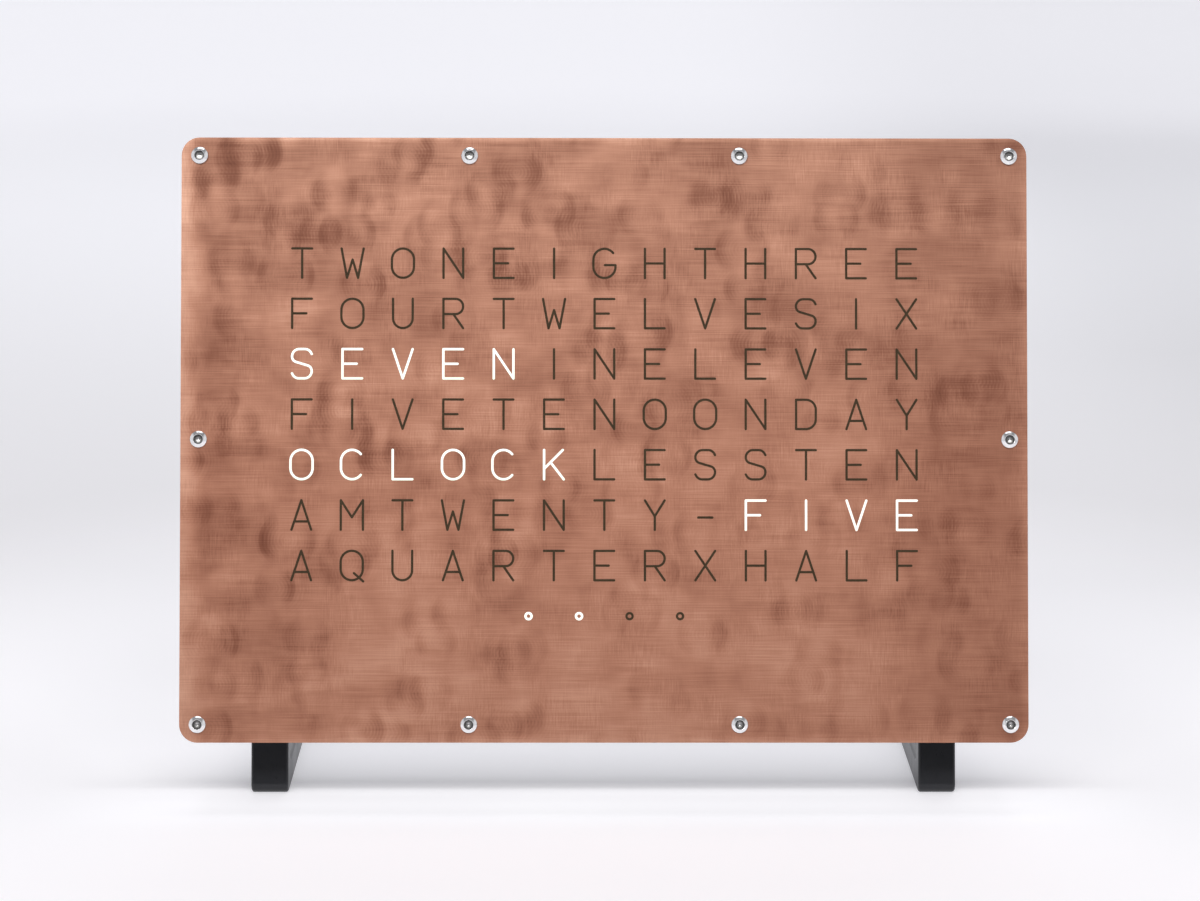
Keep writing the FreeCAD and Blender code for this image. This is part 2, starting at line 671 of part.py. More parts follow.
panel = slab("fibreglass_panel",
             rectangle("-" + HALF_WIDTH, "0", HALF_WIDTH, FACE_HEIGHT),
             "copper_thickness", "panel_thickness", "panel_corner")
drill(panel, "panel_holes", FACE_SCREWS, SCREW_HOLE, "copper_thickness", "panel_thickness")
lean(panel)
keep(panel, "fibreglass_panel")

areas = copper_areas()
copper = VECTOR(0, size("copper_thickness"), 0)
face = document.addObject("Part::Feature", "copper_face")
face.Shape = areas[0].extrude(copper)
lean(face)
keep(face, "copper_face")
group("letter_centres", [area.extrude(copper) for area in areas[1:]])

small_screw = button_screw("small_screw", "screw_diameter", "screw_head_diameter",
                           "screw_head_height", "screw_socket_width", "screw_length")
insert = ring("insert", "insert_diameter", "screw_diameter + 2 * thread_gap", "insert_length")
copies("face_screws", small_screw, FACE_SCREWS)
copies("face_screw_inserts", insert, FACE_SCREWS, PANEL_BACK)

# ---- the case ------------------------------------------------------------------------
LUGS = [(sign, "(%s + %d * lug_spacing)" % (MIDDLE_HEIGHT, step))
        for sign in ("-", "") for step in (-1, 0, 1)]
LUG_SCREWS = [("%s(%s - lug_reach / 2)" % (sign, OPENING_HALF_WIDTH), up) for sign, up in LUGS]
CASE_OUTLINE = rectangle("-" + CASE_HALF_WIDTH, "case_inset",
                         CASE_HALF_WIDTH, FACE_HEIGHT + " - case_inset")
CASE_CORNER = "panel_corner - case_inset"

frame = slab("case_frame", CASE_OUTLINE, PANEL_BACK,
             "%s - %s" % (COVER_FRONT, PANEL_BACK), CASE_CORNER)
hollow = sketch(frame, "frame_opening", back=PANEL_BACK)
outline(hollow, rectangle("-" + OPENING_HALF_WIDTH, OPENING_BOTTOM, OPENING_HALF_WIDTH, OPENING_TOP))
pocket(frame, hollow, "%s - %s" % (COVER_FRONT, PANEL_BACK))
lugs = sketch(frame, "frame_lugs", back=PANEL_BACK)
for sign, up in LUGS:
    outline(lugs, rectangle("%s(%s - lug_reach)" % (sign, OPENING_HALF_WIDTH),
                            up + " - lug_height / 2",
                            "%s%s" % (sign, OPENING_HALF_WIDTH), up + " + lug_height / 2"))
pad(frame, lugs, "%s - %s" % (STRIP_BACK, PANEL_BACK))
drill(frame, "frame_front_holes", FACE_SCREWS, INSERT_HOLE, PANEL_BACK, HOLE_DEPTH)
drill(frame, "frame_back_holes", COVER_SCREWS, INSERT_HOLE,
      "%s - (%s)" % (COVER_FRONT, HOLE_DEPTH), HOLE_DEPTH)
LUG_HOLE_DEPTH = "plate_screw_length - backing_thickness + tip_room"
drill(frame, "lug_holes", LUG_SCREWS, "screw_diameter + 2 * thread_gap",
      "%s - (%s)" % (STRIP_BACK, LUG_HOLE_DEPTH), LUG_HOLE_DEPTH)
lean(frame)
keep(frame, "case_frame")

copies("cover_screws", small_screw, COVER_SCREWS, "case_depth", turned_round=True)
copies("cover_screw_inserts", insert, COVER_SCREWS, COVER_FRONT + " - insert_length")

INLET = ("inlet_offset", "port_height")
BUTTONS = [("-button_offset", "port_height"), ("-(button_offset + button_pitch)", "port_height")]
FOOT_SCREWS = [(sign + FOOT_ACROSS, up) for sign in ("-", "")
               for up in ("foot_screw_low", "foot_screw_low + foot_screw_pitch")]
FOOT_HOLE = "foot_screw_diameter + 2 * hole_gap"

cover = slab("rear_cover", CASE_OUTLINE, COVER_FRONT, "cover_thickness", CASE_CORNER)
drill(cover, "cover_screw_holes", COVER_SCREWS, SCREW_HOLE, COVER_FRONT, "cover_thickness")
drill(cover, "cover_foot_holes", FOOT_SCREWS, FOOT_HOLE, COVER_FRONT, "cover_thickness")
drill(cover, "cover_inlet_hole", [INLET], "inlet_barrel_diameter + 2 * hole_gap",
      COVER_FRONT, "cover_thickness")
drill(cover, "cover_button_holes", BUTTONS, "button_bush_diameter + 2 * hole_gap",
      COVER_FRONT, "cover_thickness")
lean(cover)
keep(cover, "rear_cover")

# ---- the light path ------------------------------------------------------------------
CELL_HALF = "(letter_pitch - grid_wall) / 2"
grid = slab("light_grid",
            rectangle("-" + GRID_HALF_WIDTH, "%s - %s" % (MIDDLE_HEIGHT, GRID_HALF_HEIGHT),
                      GRID_HALF_WIDTH, "%s + %s" % (MIDDLE_HEIGHT, GRID_HALF_HEIGHT)),
            PANEL_BACK, "grid_depth")
axes = {item.Role: item for item in grid.Origin.OriginFeatures}


def cell_rows(name, column, row, columns, rows):
    """Open cells through the grid, counted to the right and upwards from the first one."""
    across, up = column_place(column), row_place(row)
    cell = sketch(grid, name, back=PANEL_BACK)
    outline(cell, rectangle("%s - %s" % (across, CELL_HALF), "%s - %s" % (up, CELL_HALF),
                            "%s + %s" % (across, CELL_HALF), "%s + %s" % (up, CELL_HALF)))
    first = pocket(grid, cell, "grid_depth")
    cells = grid.newObject("PartDesign::LinearPattern", name + "s")
    cells.Originals = [first]
    cells.Direction = (axes["X_Axis"], [""])
    cells.Direction2 = (axes["Z_Axis"], [""])
    cells.Occurrences = columns
    cells.Occurrences2 = rows
    cells.setExpression("Length", bound("%d * letter_pitch" % (columns - 1)))
    cells.setExpression("Length2", bound("%d * letter_pitch" % max(rows - 1, 1)))
    grid.Tip = cells
    document.recompute()


cell_rows("letter_cell", 0, ROWS - 2, COLUMNS, ROWS - 1)
cell_rows("minute_cell", lamp_columns(ROWS - 1)[0], ROWS - 1, MINUTE_LAMPS, 1)
lean(grid)
keep(grid, "light_grid")

strip = slab("strip", rectangle("-" + STRIP_HALF_LENGTH, "-strip_width / 2",
                                STRIP_HALF_LENGTH, "strip_width / 2"), "0", "strip_thickness")
minute_strip = slab("minute_strip",
                    rectangle("-" + MINUTE_STRIP_HALF_LENGTH, "-strip_width / 2",
                              MINUTE_STRIP_HALF_LENGTH, "strip_width / 2"),
                    "0", "strip_thickness")
group("led_strips",
      placed(strip, [("0", row_place(row)) for row in range(ROWS - 1)], GRID_BACK)
      + placed(minute_strip, [("0", row_place(ROWS - 1))], GRID_BACK))

led = slab("led", rectangle("-led_width / 2", "-led_width / 2", "led_width / 2", "led_width / 2"),
           "0", "led_height")
drill(led, "led_window", [("0", "0")], "led_window_diameter", "0", "led_window_depth")
copies("leds", led, [(column_place(column), row_place(row))
                     for row in range(ROWS) for column in lamp_columns(row)],
       GRID_BACK + " - led_height")

# Ribbons join the strips' ends in turn on the right and the left.  The last one reaches in to
# the shorter minute strip, and one more feeds the first strip.
LINK_TOP = "(letter_pitch + link_width) / 2"
LINK_STEP = "(letter_pitch - link_width) / 2"
STRIP_ENDS = (STRIP_HALF_LENGTH, "-%s - link_reach" % STRIP_HALF_LENGTH)
LINK_PLACES = [(STRIP_ENDS[row % 2], "%s - letter_pitch / 2" % row_place(row))
               for row in range(ROWS - 1)]
link = slab("link", rectangle("0", "-" + LINK_TOP, "link_reach", LINK_TOP), "0", "strip_thickness")
minute_link = slab("minute_link", [
    ("-letter_pitch / 2", "-" + LINK_TOP), ("link_reach", "-" + LINK_TOP),
    ("link_reach", LINK_TOP), ("0", LINK_TOP),
    ("0", "-" + LINK_STEP), ("-letter_pitch / 2", "-" + LINK_STEP)], "0", "strip_thickness")
feed = slab("feed", rectangle("0", "-link_width / 2", "link_reach", "link_width / 2"),
            "0", "strip_thickness")
group("strip_links",
      placed(link, LINK_PLACES[:-1], GRID_BACK)
      + placed(minute_link, LINK_PLACES[-1:], GRID_BACK)
      + placed(feed, [(STRIP_ENDS[1], row_place(0))], GRID_BACK))

BACKING_HALF_WIDTH = "(%s - backing_gap)" % OPENING_HALF_WIDTH
BOARD_SCREWS = [("%s(board_width / 2 - board_hole_inset)" % side,
                 "board_middle_height %s (board_height / 2 - board_hole_inset)" % rise)
                for side in ("-", "") for rise in ("-", "+")]
BOARD_HOLE = "board_screw_diameter + 2 * hole_gap"
FEED_HOLE = [("-%s - link_reach / 2" % STRIP_HALF_LENGTH, row_place(0))]
backing = slab("backing_plate",
               rectangle("-" + BACKING_HALF_WIDTH, "%s - %s" % (MIDDLE_HEIGHT, GRID_HALF_HEIGHT),
                         BACKING_HALF_WIDTH, "%s + %s" % (MIDDLE_HEIGHT, GRID_HALF_HEIGHT)),
               STRIP_BACK, "backing_thickness")
drill(backing, "backing_lug_holes", LUG_SCREWS, SCREW_HOLE, STRIP_BACK, "backing_thickness")
drill(backing, "backing_board_holes", BOARD_SCREWS, "board_screw_diameter + 2 * thread_gap",
      STRIP_BACK, "backing_thickness")
drill(backing, "backing_feed_hole", FEED_HOLE, "strip_lead_diameter + 2 * feed_gap",
      STRIP_BACK, "backing_thickness")
lean(backing)
keep(backing, "backing_plate")
plate_screw = button_screw("plate_screw", "screw_diameter", "screw_head_diameter",
                           "screw_head_height", "screw_socket_width", "plate_screw_length")
copies("backing_plate_screws", plate_screw, LUG_SCREWS, BACKING_BACK, turned_round=True)

# ---- the controller ------------------------------------------------------------------
BOARD_BOTTOM = "(board_middle_height - board_height / 2)"
board = slab("controller_board",
             rectangle("-board_width / 2", BOARD_BOTTOM, "board_width / 2",
                       "board_middle_height + board_height / 2"), BOARD_FRONT, "board_thickness")
drill(board, "board_holes", BOARD_SCREWS, BOARD_HOLE, BOARD_FRONT, "board_thickness")
lean(board)
keep(board, "controller_board")
spacer = ring("spacer", "spacer_diameter", BOARD_HOLE, "board_standoff")
copies("board_spacers", spacer, BOARD_SCREWS, BACKING_BACK)
board_screw = button_screw("board_screw", "board_screw_diameter", "board_screw_head_diameter",
                           "board_screw_head_height", "board_screw_socket_width",
                           "board_thickness + board_standoff + backing_thickness")
copies("board_screws", board_screw, BOARD_SCREWS, BOARD_BACK, turned_round=True)

MODULE_MIDDLE = ("-part_offset", "(board_middle_height + part_rise)")
module_board = box("module_board", "%s - module_width / 2" % MODULE_MIDDLE[0], BOARD_BACK,
                   "%s - module_height / 2" % MODULE_MIDDLE[1],
                   "module_width", "module_thickness", "module_height")
module_can = box("module_can", "%s - can_width / 2" % MODULE_MIDDLE[0],
                 BOARD_BACK + " + module_thickness",
                 "%s - module_height / 2 + (module_width - can_width) / 2" % MODULE_MIDDLE[1],
                 "can_width", "can_thickness", "can_height")
fused("processor_module", module_board, module_can)

keep(box("clock_chip", "-clock_chip_width / 2", BOARD_BACK, "board_middle_height",
         "clock_chip_width", "clock_chip_thickness", "clock_chip_height"), "clock_chip")
keep(box("lamp_driver_chip", "-logic_chip_width / 2", BOARD_BACK, "board_middle_height - driver_drop",
         "logic_chip_width", "logic_chip_thickness", "logic_chip_height"), "lamp_driver_chip")

CELL_MIDDLE = ("part_offset", "(board_middle_height + part_rise)")
holder = slab("coin_cell_holder",
              rectangle("%s - holder_width / 2" % CELL_MIDDLE[0],
                        "%s - holder_width / 2" % CELL_MIDDLE[1],
                        "%s + holder_width / 2" % CELL_MIDDLE[0],
                        "%s + holder_width / 2" % CELL_MIDDLE[1]),
              BOARD_BACK, "holder_floor + holder_rim")
drill(holder, "holder_seat", [CELL_MIDDLE], "cell_diameter + 2 * cell_gap",
      BOARD_BACK + " + holder_floor", "holder_rim")
lean(holder)
keep(holder, "coin_cell_holder")
coin_cell = document.addObject("Part::Cylinder", "coin_cell")
coin_cell.setExpression("Radius", bound("cell_diameter / 2"))
coin_cell.setExpression("Height", bound("cell_thickness"))
lean(coin_cell, CELL_MIDDLE[0], BOARD_BACK + " + holder_floor", CELL_MIDDLE[1], "90 + lean_angle")
keep(coin_cell, "coin_cell")

CAPACITOR = ("-board_width / 2 + board_hole_inset + capacitor_base_width",
             BOARD_BOTTOM + " + socket_height + socket_gap + capacitor_base_width / 2")
capacitor_base = box("capacitor_base", "%s - capacitor_base_width / 2" % CAPACITOR[0], BOARD_BACK,
                     "%s - capacitor_base_width / 2" % CAPACITOR[1],
                     "capacitor_base_width", "capacitor_base_height", "capacitor_base_width")
capacitor_can = document.addObject("Part::Cylinder", "capacitor_can")
capacitor_can.setExpression("Radius", bound("capacitor_diameter / 2"))
capacitor_can.setExpression("Height", bound("capacitor_height"))
lean(capacitor_can, CAPACITOR[0], BOARD_BACK, CAPACITOR[1], "90 + lean_angle")
fused("power_capacitor", capacitor_base, capacitor_can)

# Lead sockets along the board's bottom edge, and one at its left for the strips.
SOCKET_UP = BOARD_BOTTOM + " + socket_height / 2"
POWER_SOCKET = ("board_width / 2 - board_hole_inset - board_screw_head_diameter / 2"
                " - socket_gap - socket_width / 2", SOCKET_UP)
BUTTON_SOCKETS = [("-socket_pitch", SOCKET_UP), ("-2 * socket_pitch", SOCKET_UP)]
STRIP_SOCKET = ("-board_width / 2 + socket_width / 2", "board_middle_height + socket_height")
socket = slab("socket", rectangle("-socket_width / 2", "-socket_height / 2",
                                  "socket_width / 2", "socket_height / 2"), "0", "socket_thickness")
copies("lead_sockets", socket, [POWER_SOCKET] + BUTTON_SOCKETS + [STRIP_SOCKET], BOARD_BACK)

# ---- the power inlet -----------------------------------------------------------------
BARREL_FRONT = "(case_depth - inlet_barrel_length)"
BORE_FLOOR = "(case_depth + inlet_flange_height - inlet_bore_depth)"
inlet = turned("power_inlet", [
    ("0", BARREL_FRONT),
    ("inlet_barrel_diameter / 2", BARREL_FRONT),
    ("inlet_barrel_diameter / 2", "case_depth"),
    ("inlet_flange_diameter / 2", "case_depth"),
    ("inlet_flange_diameter / 2", "case_depth + inlet_flange_height"),
    ("inlet_bore_diameter / 2", "case_depth + inlet_flange_height"),
    ("inlet_bore_diameter / 2", BORE_FLOOR),
    ("inlet_pin_diameter / 2", BORE_FLOOR),
    ("inlet_pin_diameter / 2", BORE_FLOOR + " - inlet_pin_root"),
    ("0", BORE_FLOOR + " - inlet_pin_root")])
lean(inlet, INLET[0], "0", INLET[1])
keep(inlet, "power_inlet")
pin = document.addObject("Part::Cylinder", "power_inlet_pin")
pin.setExpression("Radius", bound("inlet_pin_diameter / 2 - thread_gap"))
pin.setExpression("Height", bound("inlet_pin_root + inlet_bore_depth - inlet_pin_recess"))
lean(pin, INLET[0], BORE_FLOOR + " - inlet_pin_root", INLET[1], "90 + lean_angle")
keep(pin, "power_inlet_pin")
inlet_nut = nut("inlet_nut", "inlet_nut_width", "inlet_barrel_diameter + 2 * thread_gap",
                "inlet_nut_height")
copies("power_inlet_nut", inlet_nut, [INLET], COVER_FRONT + " - inlet_nut_height")

# ---- the setting buttons -------------------------------------------------------------
HOUSING_FRONT = "(%s - button_body_length)" % COVER_FRONT
CHAMBER_FRONT = "(%s + button_floor)" % HOUSING_FRONT
CHAMBER_BACK = "(%s - button_shoulder)" % COVER_FRONT
BUSH_BACK = "(case_depth + button_bush_length)"
BUSH_BORE = "(button_stem_diameter / 2 + button_stem_gap)"
COLLAR_BACK = "(%s - button_rest_gap)" % CHAMBER_BACK
BUTTON_TIP = "(%s + button_stand)" % BUSH_BACK
housing = turned("housing", [
    ("0", HOUSING_FRONT),
    ("button_body_diameter / 2", HOUSING_FRONT),
    ("button_body_diameter / 2", COVER_FRONT),
    ("button_bush_diameter / 2", COVER_FRONT),
    ("button_bush_diameter / 2", BUSH_BACK),
    (BUSH_BORE, BUSH_BACK),
    (BUSH_BORE, CHAMBER_BACK),
    ("button_chamber_diameter / 2", CHAMBER_BACK),
    ("button_chamber_diameter / 2", CHAMBER_FRONT),
    ("0", CHAMBER_FRONT)])
copies("button_housings", housing, BUTTONS)
button_nut = nut("button_nut", "button_nut_width", "button_bush_diameter + 2 * thread_gap",
                 "button_nut_height")
copies("button_nuts", button_nut, BUTTONS, "case_depth")
for name, place in zip(("hour_button", "minute_button"), BUTTONS):
    button = turned(name, [
        ("0", COLLAR_BACK + " - button_collar_height"),
        ("button_collar_diameter / 2", COLLAR_BACK + " - button_collar_height"),
        ("button_collar_diameter / 2", COLLAR_BACK),
        ("button_stem_diameter / 2", COLLAR_BACK),
        ("button_stem_diameter / 2", BUTTON_TIP),
        ("0", BUTTON_TIP)])
    round_edges(button, name + "_edge", "button_edge", end_ring(size(BUTTON_TIP)))
    lean(button, place[0], "0", place[1])
    keep(button, name)

# ---- the feet ------------------------------------------------------------------------
FOOT_OUTLINE = [
    ("case_depth", FOOT_CORNER),
    ("case_depth + foot_base_length * cos(lean_angle)",
     "%s + foot_base_length * sin(lean_angle)" % FOOT_CORNER),
    ("case_depth + foot_base_length * cos(lean_angle) - foot_base_thickness * sin(lean_angle)",
     "%s + foot_base_length * sin(lean_angle) + foot_base_thickness * cos(lean_angle)" % FOOT_CORNER),
    (LIMB_BACK, FOOT_INNER),
    (LIMB_BACK, "foot_limb_top"),
    ("case_depth", "foot_limb_top")]
FOOT_ROUNDINGS = ("foot_bend_radius", "foot_end_radius", "foot_end_radius",
                  "foot_inner_radius", "foot_end_radius", "foot_end_radius")


def near_corner(corner):
    """A test for the edge across the foot at one corner of its outline."""
    back, up = size(corner[0]), size(corner[1])

    def test(edge):
        middle = edge.CenterOfMass
        across = isinstance(edge.Curve, Part.Line) and abs(edge.Curve.Direction.x) > 0.999
        return across and math.hypot(middle.y - back, middle.z - up) < TINY
    return test


def on_side(edge):
    """Whether an edge lies on either side face of the foot."""
    half = size("foot_width / 2")
    return abs(abs(edge.CenterOfMass.x) - half) < TINY


def foot(name, across):
    """One L-shaped foot: a limb up the case's back and a limb back along the floor."""
    body = document.addObject("PartDesign::Body", name)
    drawing = sketch(body, name + "_outline", role="YZ_Plane")
    outline(drawing, FOOT_OUTLINE)
    feature = body.newObject("PartDesign::Pad", name + "_pad")
    feature.Profile = drawing
    feature.SideType = "Symmetric"
    feature.setExpression("Length", bound("foot_width"))
    for k, (corner, radius) in enumerate(zip(FOOT_OUTLINE, FOOT_ROUNDINGS)):
        round_edges(body, "%s_rounding_%d" % (name, k), radius, near_corner(corner))
    round_edges(body, name + "_sides", "foot_edge_radius", on_side)
    drill(body, name + "_holes", [("0", up) for _, up in FOOT_SCREWS[:2]], FOOT_HOLE,
          "case_depth", "foot_limb_thickness")
    lean(body, across)
    keep(body, name)


foot("foot_left", "-" + FOOT_ACROSS)
foot("foot_right", FOOT_ACROSS)
foot_screw = button_screw(
    "foot_screw", "foot_screw_diameter", "foot_screw_head_diameter", "foot_screw_head_height",
    "foot_screw_socket_width",
    "foot_limb_thickness + cover_thickness + foot_nut_height + tip_room")
copies("foot_screws", foot_screw, FOOT_SCREWS, LIMB_BACK, turned_round=True)
foot_nut = nut("foot_nut", "foot_nut_width", "foot_screw_diameter + 2 * thread_gap",
               "foot_nut_height")
copies("foot_nuts", foot_nut, FOOT_SCREWS, COVER_FRONT + " - foot_nut_height")

# ---- the leads inside the case -------------------------------------------------------
RUN_SHARE = 0.45
QUARTER_TURN = math.pi / 2


def lead_radii(points):
    """Each bend as large as the shorter of its two runs allows."""
    radii = [0.0]
    for before, point, after in zip(points, points[1:], points[2:]):
        arriving, leaving = point - before, after - point
        turn = arriving.getAngle(leaving)
        run = min(arriving.Length, leaving.Length)
        radii.append(RUN_SHARE * run / math.tan(turn / 2))
    return radii + [0.0]


def lead(name, routes, diameter):
    """Round leads along straight runs and arcs, each a solid of the one piece."""
    shapes = []
    for route in routes:
        points = [VECTOR(*(size(text) for text in point)) for point in route]
        path = Part.Wire(rounded_edges(points, lead_radii(points), False))
        start = points[0]
        along = (points[1] - points[0]).normalize()
        section = Part.Wire([Part.Circle(start, along, size(diameter) / 2).toShape()])
        shapes.append(path.makePipeShell([section], True, False, 2))
    group(name, shapes)


def between(first, second, share):
    """The expression for a place part of the way from one to another."""
    return "((%s) * %g + (%s) * %g)" % (first, 1 - share, second, share)


SOCKET_BACK = "(%s + socket_thickness / 2)" % BOARD_BACK
TAG_BACK = "(%s + board_thickness / 2)" % BOARD_FRONT
LOW_BEND_SHARE = 0.4
HIGH_BEND_SHARE = 0.7
LEAD_LOW = between("port_height", BOARD_BOTTOM, LOW_BEND_SHARE)
LEAD_HIGH = between("port_height", BOARD_BOTTOM, HIGH_BEND_SHARE)


def rising_lead(place, radius, socket_place):
    """From the side of an inlet or a button housing up to the board's bottom edge."""
    return [(place[0], TAG_BACK, "%s + %s" % (place[1], radius)),
            (place[0], TAG_BACK, LEAD_LOW),
            (socket_place[0], SOCKET_BACK, LEAD_HIGH),
            (socket_place[0], SOCKET_BACK, BOARD_BOTTOM)]


lead("power_lead", [rising_lead(INLET, "inlet_barrel_diameter / 2", POWER_SOCKET)],
     "power_lead_diameter")
lead("button_leads", [rising_lead(place, "button_body_diameter / 2", target)
                      for place, target in zip(BUTTONS, BUTTON_SOCKETS)], "button_lead_diameter")

# The strip lead's bends: how far each is from the board's left edge to the feed, across and
# up, and its depth.
BOARD_LEFT = "-board_width / 2"
FEED_ACROSS, FEED_UP = FEED_HOLE[0]
BEHIND_BACKING = "(%s + strip_lead_diameter)" % BACKING_BACK
STRIP_LEAD_BENDS = ((0, 0, SOCKET_BACK), (0.2, 0, SOCKET_BACK), (0.55, 0.3, SOCKET_BACK),
                    (0.82, 0.68, BEHIND_BACKING), (1, 0.88, BEHIND_BACKING),
                    (1, 1, BEHIND_BACKING), (1, 1, STRIP_BACK))
lead("strip_lead",
     [[(between(BOARD_LEFT, FEED_ACROSS, across), back, between(STRIP_SOCKET[1], FEED_UP, up))
       for across, up, back in STRIP_LEAD_BENDS]], "strip_lead_diameter")

# ---- check and write -----------------------------------------------------------------
document.recompute()
for item in document.Objects:
    if "Invalid" in item.State or "Error" in item.State:
        raise RuntimeError("%s failed: %s" % (item.Name, item.State))
os.makedirs("parts", exist_ok=True)
for piece in pieces:
    if piece.Shape.isNull() or not piece.Shape.isValid():
        raise RuntimeError(piece.Label + " has no sound shape")
    piece.Shape.exportStep(os.path.join("parts", piece.Label + ".step"))
    print("%-22s %3d solids %10.1f mm3" % (piece.Label, len(piece.Shape.Solids), piece.Shape.Volume))
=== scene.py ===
"""The word clock's looks: the finish of every piece, its screws, the table and the light.

The clock's own frame is used for its face: across runs to the right, back runs away from
the face's front surface and up runs from its bottom edge, all leaned back with the clock.
"""
import json
import math

import bpy
import numpy as np
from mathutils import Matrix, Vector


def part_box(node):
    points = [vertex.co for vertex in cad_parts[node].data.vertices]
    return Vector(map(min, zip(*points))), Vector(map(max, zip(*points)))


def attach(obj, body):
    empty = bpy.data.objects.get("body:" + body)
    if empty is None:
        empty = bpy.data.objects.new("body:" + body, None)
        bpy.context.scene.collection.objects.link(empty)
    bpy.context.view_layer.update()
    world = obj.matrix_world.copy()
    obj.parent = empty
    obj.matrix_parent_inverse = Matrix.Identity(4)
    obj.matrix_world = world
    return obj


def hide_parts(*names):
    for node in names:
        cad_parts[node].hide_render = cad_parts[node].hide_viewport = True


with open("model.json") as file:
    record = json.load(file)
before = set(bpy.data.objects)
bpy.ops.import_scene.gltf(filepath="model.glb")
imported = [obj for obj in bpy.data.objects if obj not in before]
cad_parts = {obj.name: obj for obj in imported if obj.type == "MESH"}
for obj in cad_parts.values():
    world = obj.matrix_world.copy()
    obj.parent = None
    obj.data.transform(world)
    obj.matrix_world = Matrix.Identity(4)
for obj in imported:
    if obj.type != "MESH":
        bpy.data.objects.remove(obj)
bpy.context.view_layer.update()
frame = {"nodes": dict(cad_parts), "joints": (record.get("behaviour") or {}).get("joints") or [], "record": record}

NODES = frame["nodes"]
BODY = "clock"

# ---- the clock's own frame, in metres ------------------------------------------------
# The buttons are pressed straight into the back, so their axis gives the clock's lean.
PRESS_AXIS = frame["joints"][0]["axis"]
LEAN = math.atan2(PRESS_AXIS[2], -PRESS_AXIS[1])
COPPER_THICKNESS = 0.0001
FACE_LOW, FACE_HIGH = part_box("copper_face")
FACE_Y = FACE_LOW.y
FACE_Z = FACE_LOW.z + COPPER_THICKNESS * math.sin(LEAN)
FACE_WIDTH = FACE_HIGH.x - FACE_LOW.x
FACE_HEIGHT = (FACE_HIGH.z - FACE_Z) / math.cos(LEAN)
LETTER_PITCH = 0.016667
COLUMNS = 13
ROWS = 8
# How far back the screws of the cover and of the feet are seated.
CASE_DEPTH = 0.024
LIMB_BACK = 0.031
FOOT_ACROSS = sum(corner.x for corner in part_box("foot_right")) / 2
FOOT_SCREW_UPS = (0.024, 0.054)
SCREW_INSET = 0.006
SCREW_ACROSS = FACE_WIDTH / 2 - SCREW_INSET
SCREW_TOP = FACE_HEIGHT - SCREW_INSET
SCREW_UPS = (SCREW_INSET, FACE_HEIGHT / 2, SCREW_TOP)

# ---- camera --------------------------------------------------------------------------
CAMERA_PLACE = (-0.0097, -1.0683, 0.3316)
CAMERA_TURN = (78.33, -0.13, -0.43)
CAMERA_LENS = 96.0
SENSOR_WIDTH = 36.0


def make_camera():
    """A long lens a little above the clock, looking slightly down on it."""
    data = bpy.data.cameras.new("camera")
    data.lens = CAMERA_LENS
    data.sensor_width = SENSOR_WIDTH
    data.clip_start = 0.01
    camera = bpy.data.objects.new("camera", data)
    camera.location = CAMERA_PLACE
    camera.rotation_euler = [math.radians(turn) for turn in CAMERA_TURN]
    bpy.context.scene.collection.objects.link(camera)
    bpy.context.scene.camera = camera


make_camera()


# ---- node helpers --------------------------------------------------------------------
class Wiring:
    """Adds nodes to one tree: an input that is a socket is linked, any other is a value."""

    def __init__(self, tree):
        self.tree = tree

    def put(self, socket, value):
        if isinstance(value, bpy.types.NodeSocket):
            self.tree.links.new(value, socket)
        elif isinstance(value, tuple) and len(value) == 3 and socket.type == "RGBA":
            socket.default_value = value + (1.0,)
        else:
            socket.default_value = value

    def node(self, kind, inputs, **settings):
        made = self.tree.nodes.new(kind)
        for name, value in settings.items():
            setattr(made, name, value)
        for name, value in inputs.items():
            self.put(made.inputs[name], value)
        return made

    def math(self, operation, first, second=0.0, clamp=False):
        return self.node("ShaderNodeMath", {0: first, 1: second},
                         operation=operation, use_clamp=clamp).outputs[0]

    def vector(self, operation, first, second=(0.0, 0.0, 0.0)):
        made = self.node("ShaderNodeVectorMath", {0: first, 1: second}, operation=operation)
        return made.outputs["Value" if operation in ("LENGTH", "DOT_PRODUCT") else "Vector"]

    def parts(self, vector):
        return self.node("ShaderNodeSeparateXYZ", {"Vector": vector}).outputs

    def span(self, value, low, high, to_low=0.0, to_high=1.0, smooth=False):
        """The value's place between low and high, carried over to another span and kept in it."""
        kind = "SMOOTHSTEP" if smooth else "LINEAR"
        return self.node("ShaderNodeMapRange", {
            "Value": value, "From Min": low, "From Max": high,
            "To Min": to_low, "To Max": to_high}, interpolation_type=kind).outputs["Result"]

    def noise(self, vector, scale, detail=2.0, roughness=0.5, distortion=0.0):
        return self.node("ShaderNodeTexNoise", {
            "Vector": vector, "Scale": scale, "Detail": detail, "Roughness": roughness,
            "Distortion": distortion}).outputs["Fac"]

    def mix(self, factor, first, second):
        """Colours mixed by a factor."""
        made = self.node("ShaderNodeMix", {0: factor, 6: first, 7: second}, data_type="RGBA")
        return made.outputs[2]

    def tones(self, value, stops):
        """A value turned into a colour through a row of (place, colour) stops."""
        made = self.node("ShaderNodeValToRGB", {"Fac": value})
        row = made.color_ramp.elements
        while len(row) < len(stops):
            row.new(0.5)
        for element, (place, colour) in zip(row, stops):
            element.position = place
            element.color = colour + (1.0,)
        return made.outputs["Color"]

    def bump(self, height, distance, strength=1.0):
        return self.node("ShaderNodeBump", {
            "Height": height, "Distance": distance, "Strength": strength}).outputs["Normal"]

    def group(self, tree, inputs):
        made = self.tree.nodes.new("ShaderNodeGroup")
        made.node_tree = tree
        for name, value in inputs.items():
            self.put(made.inputs[name], value)
        return made.outputs


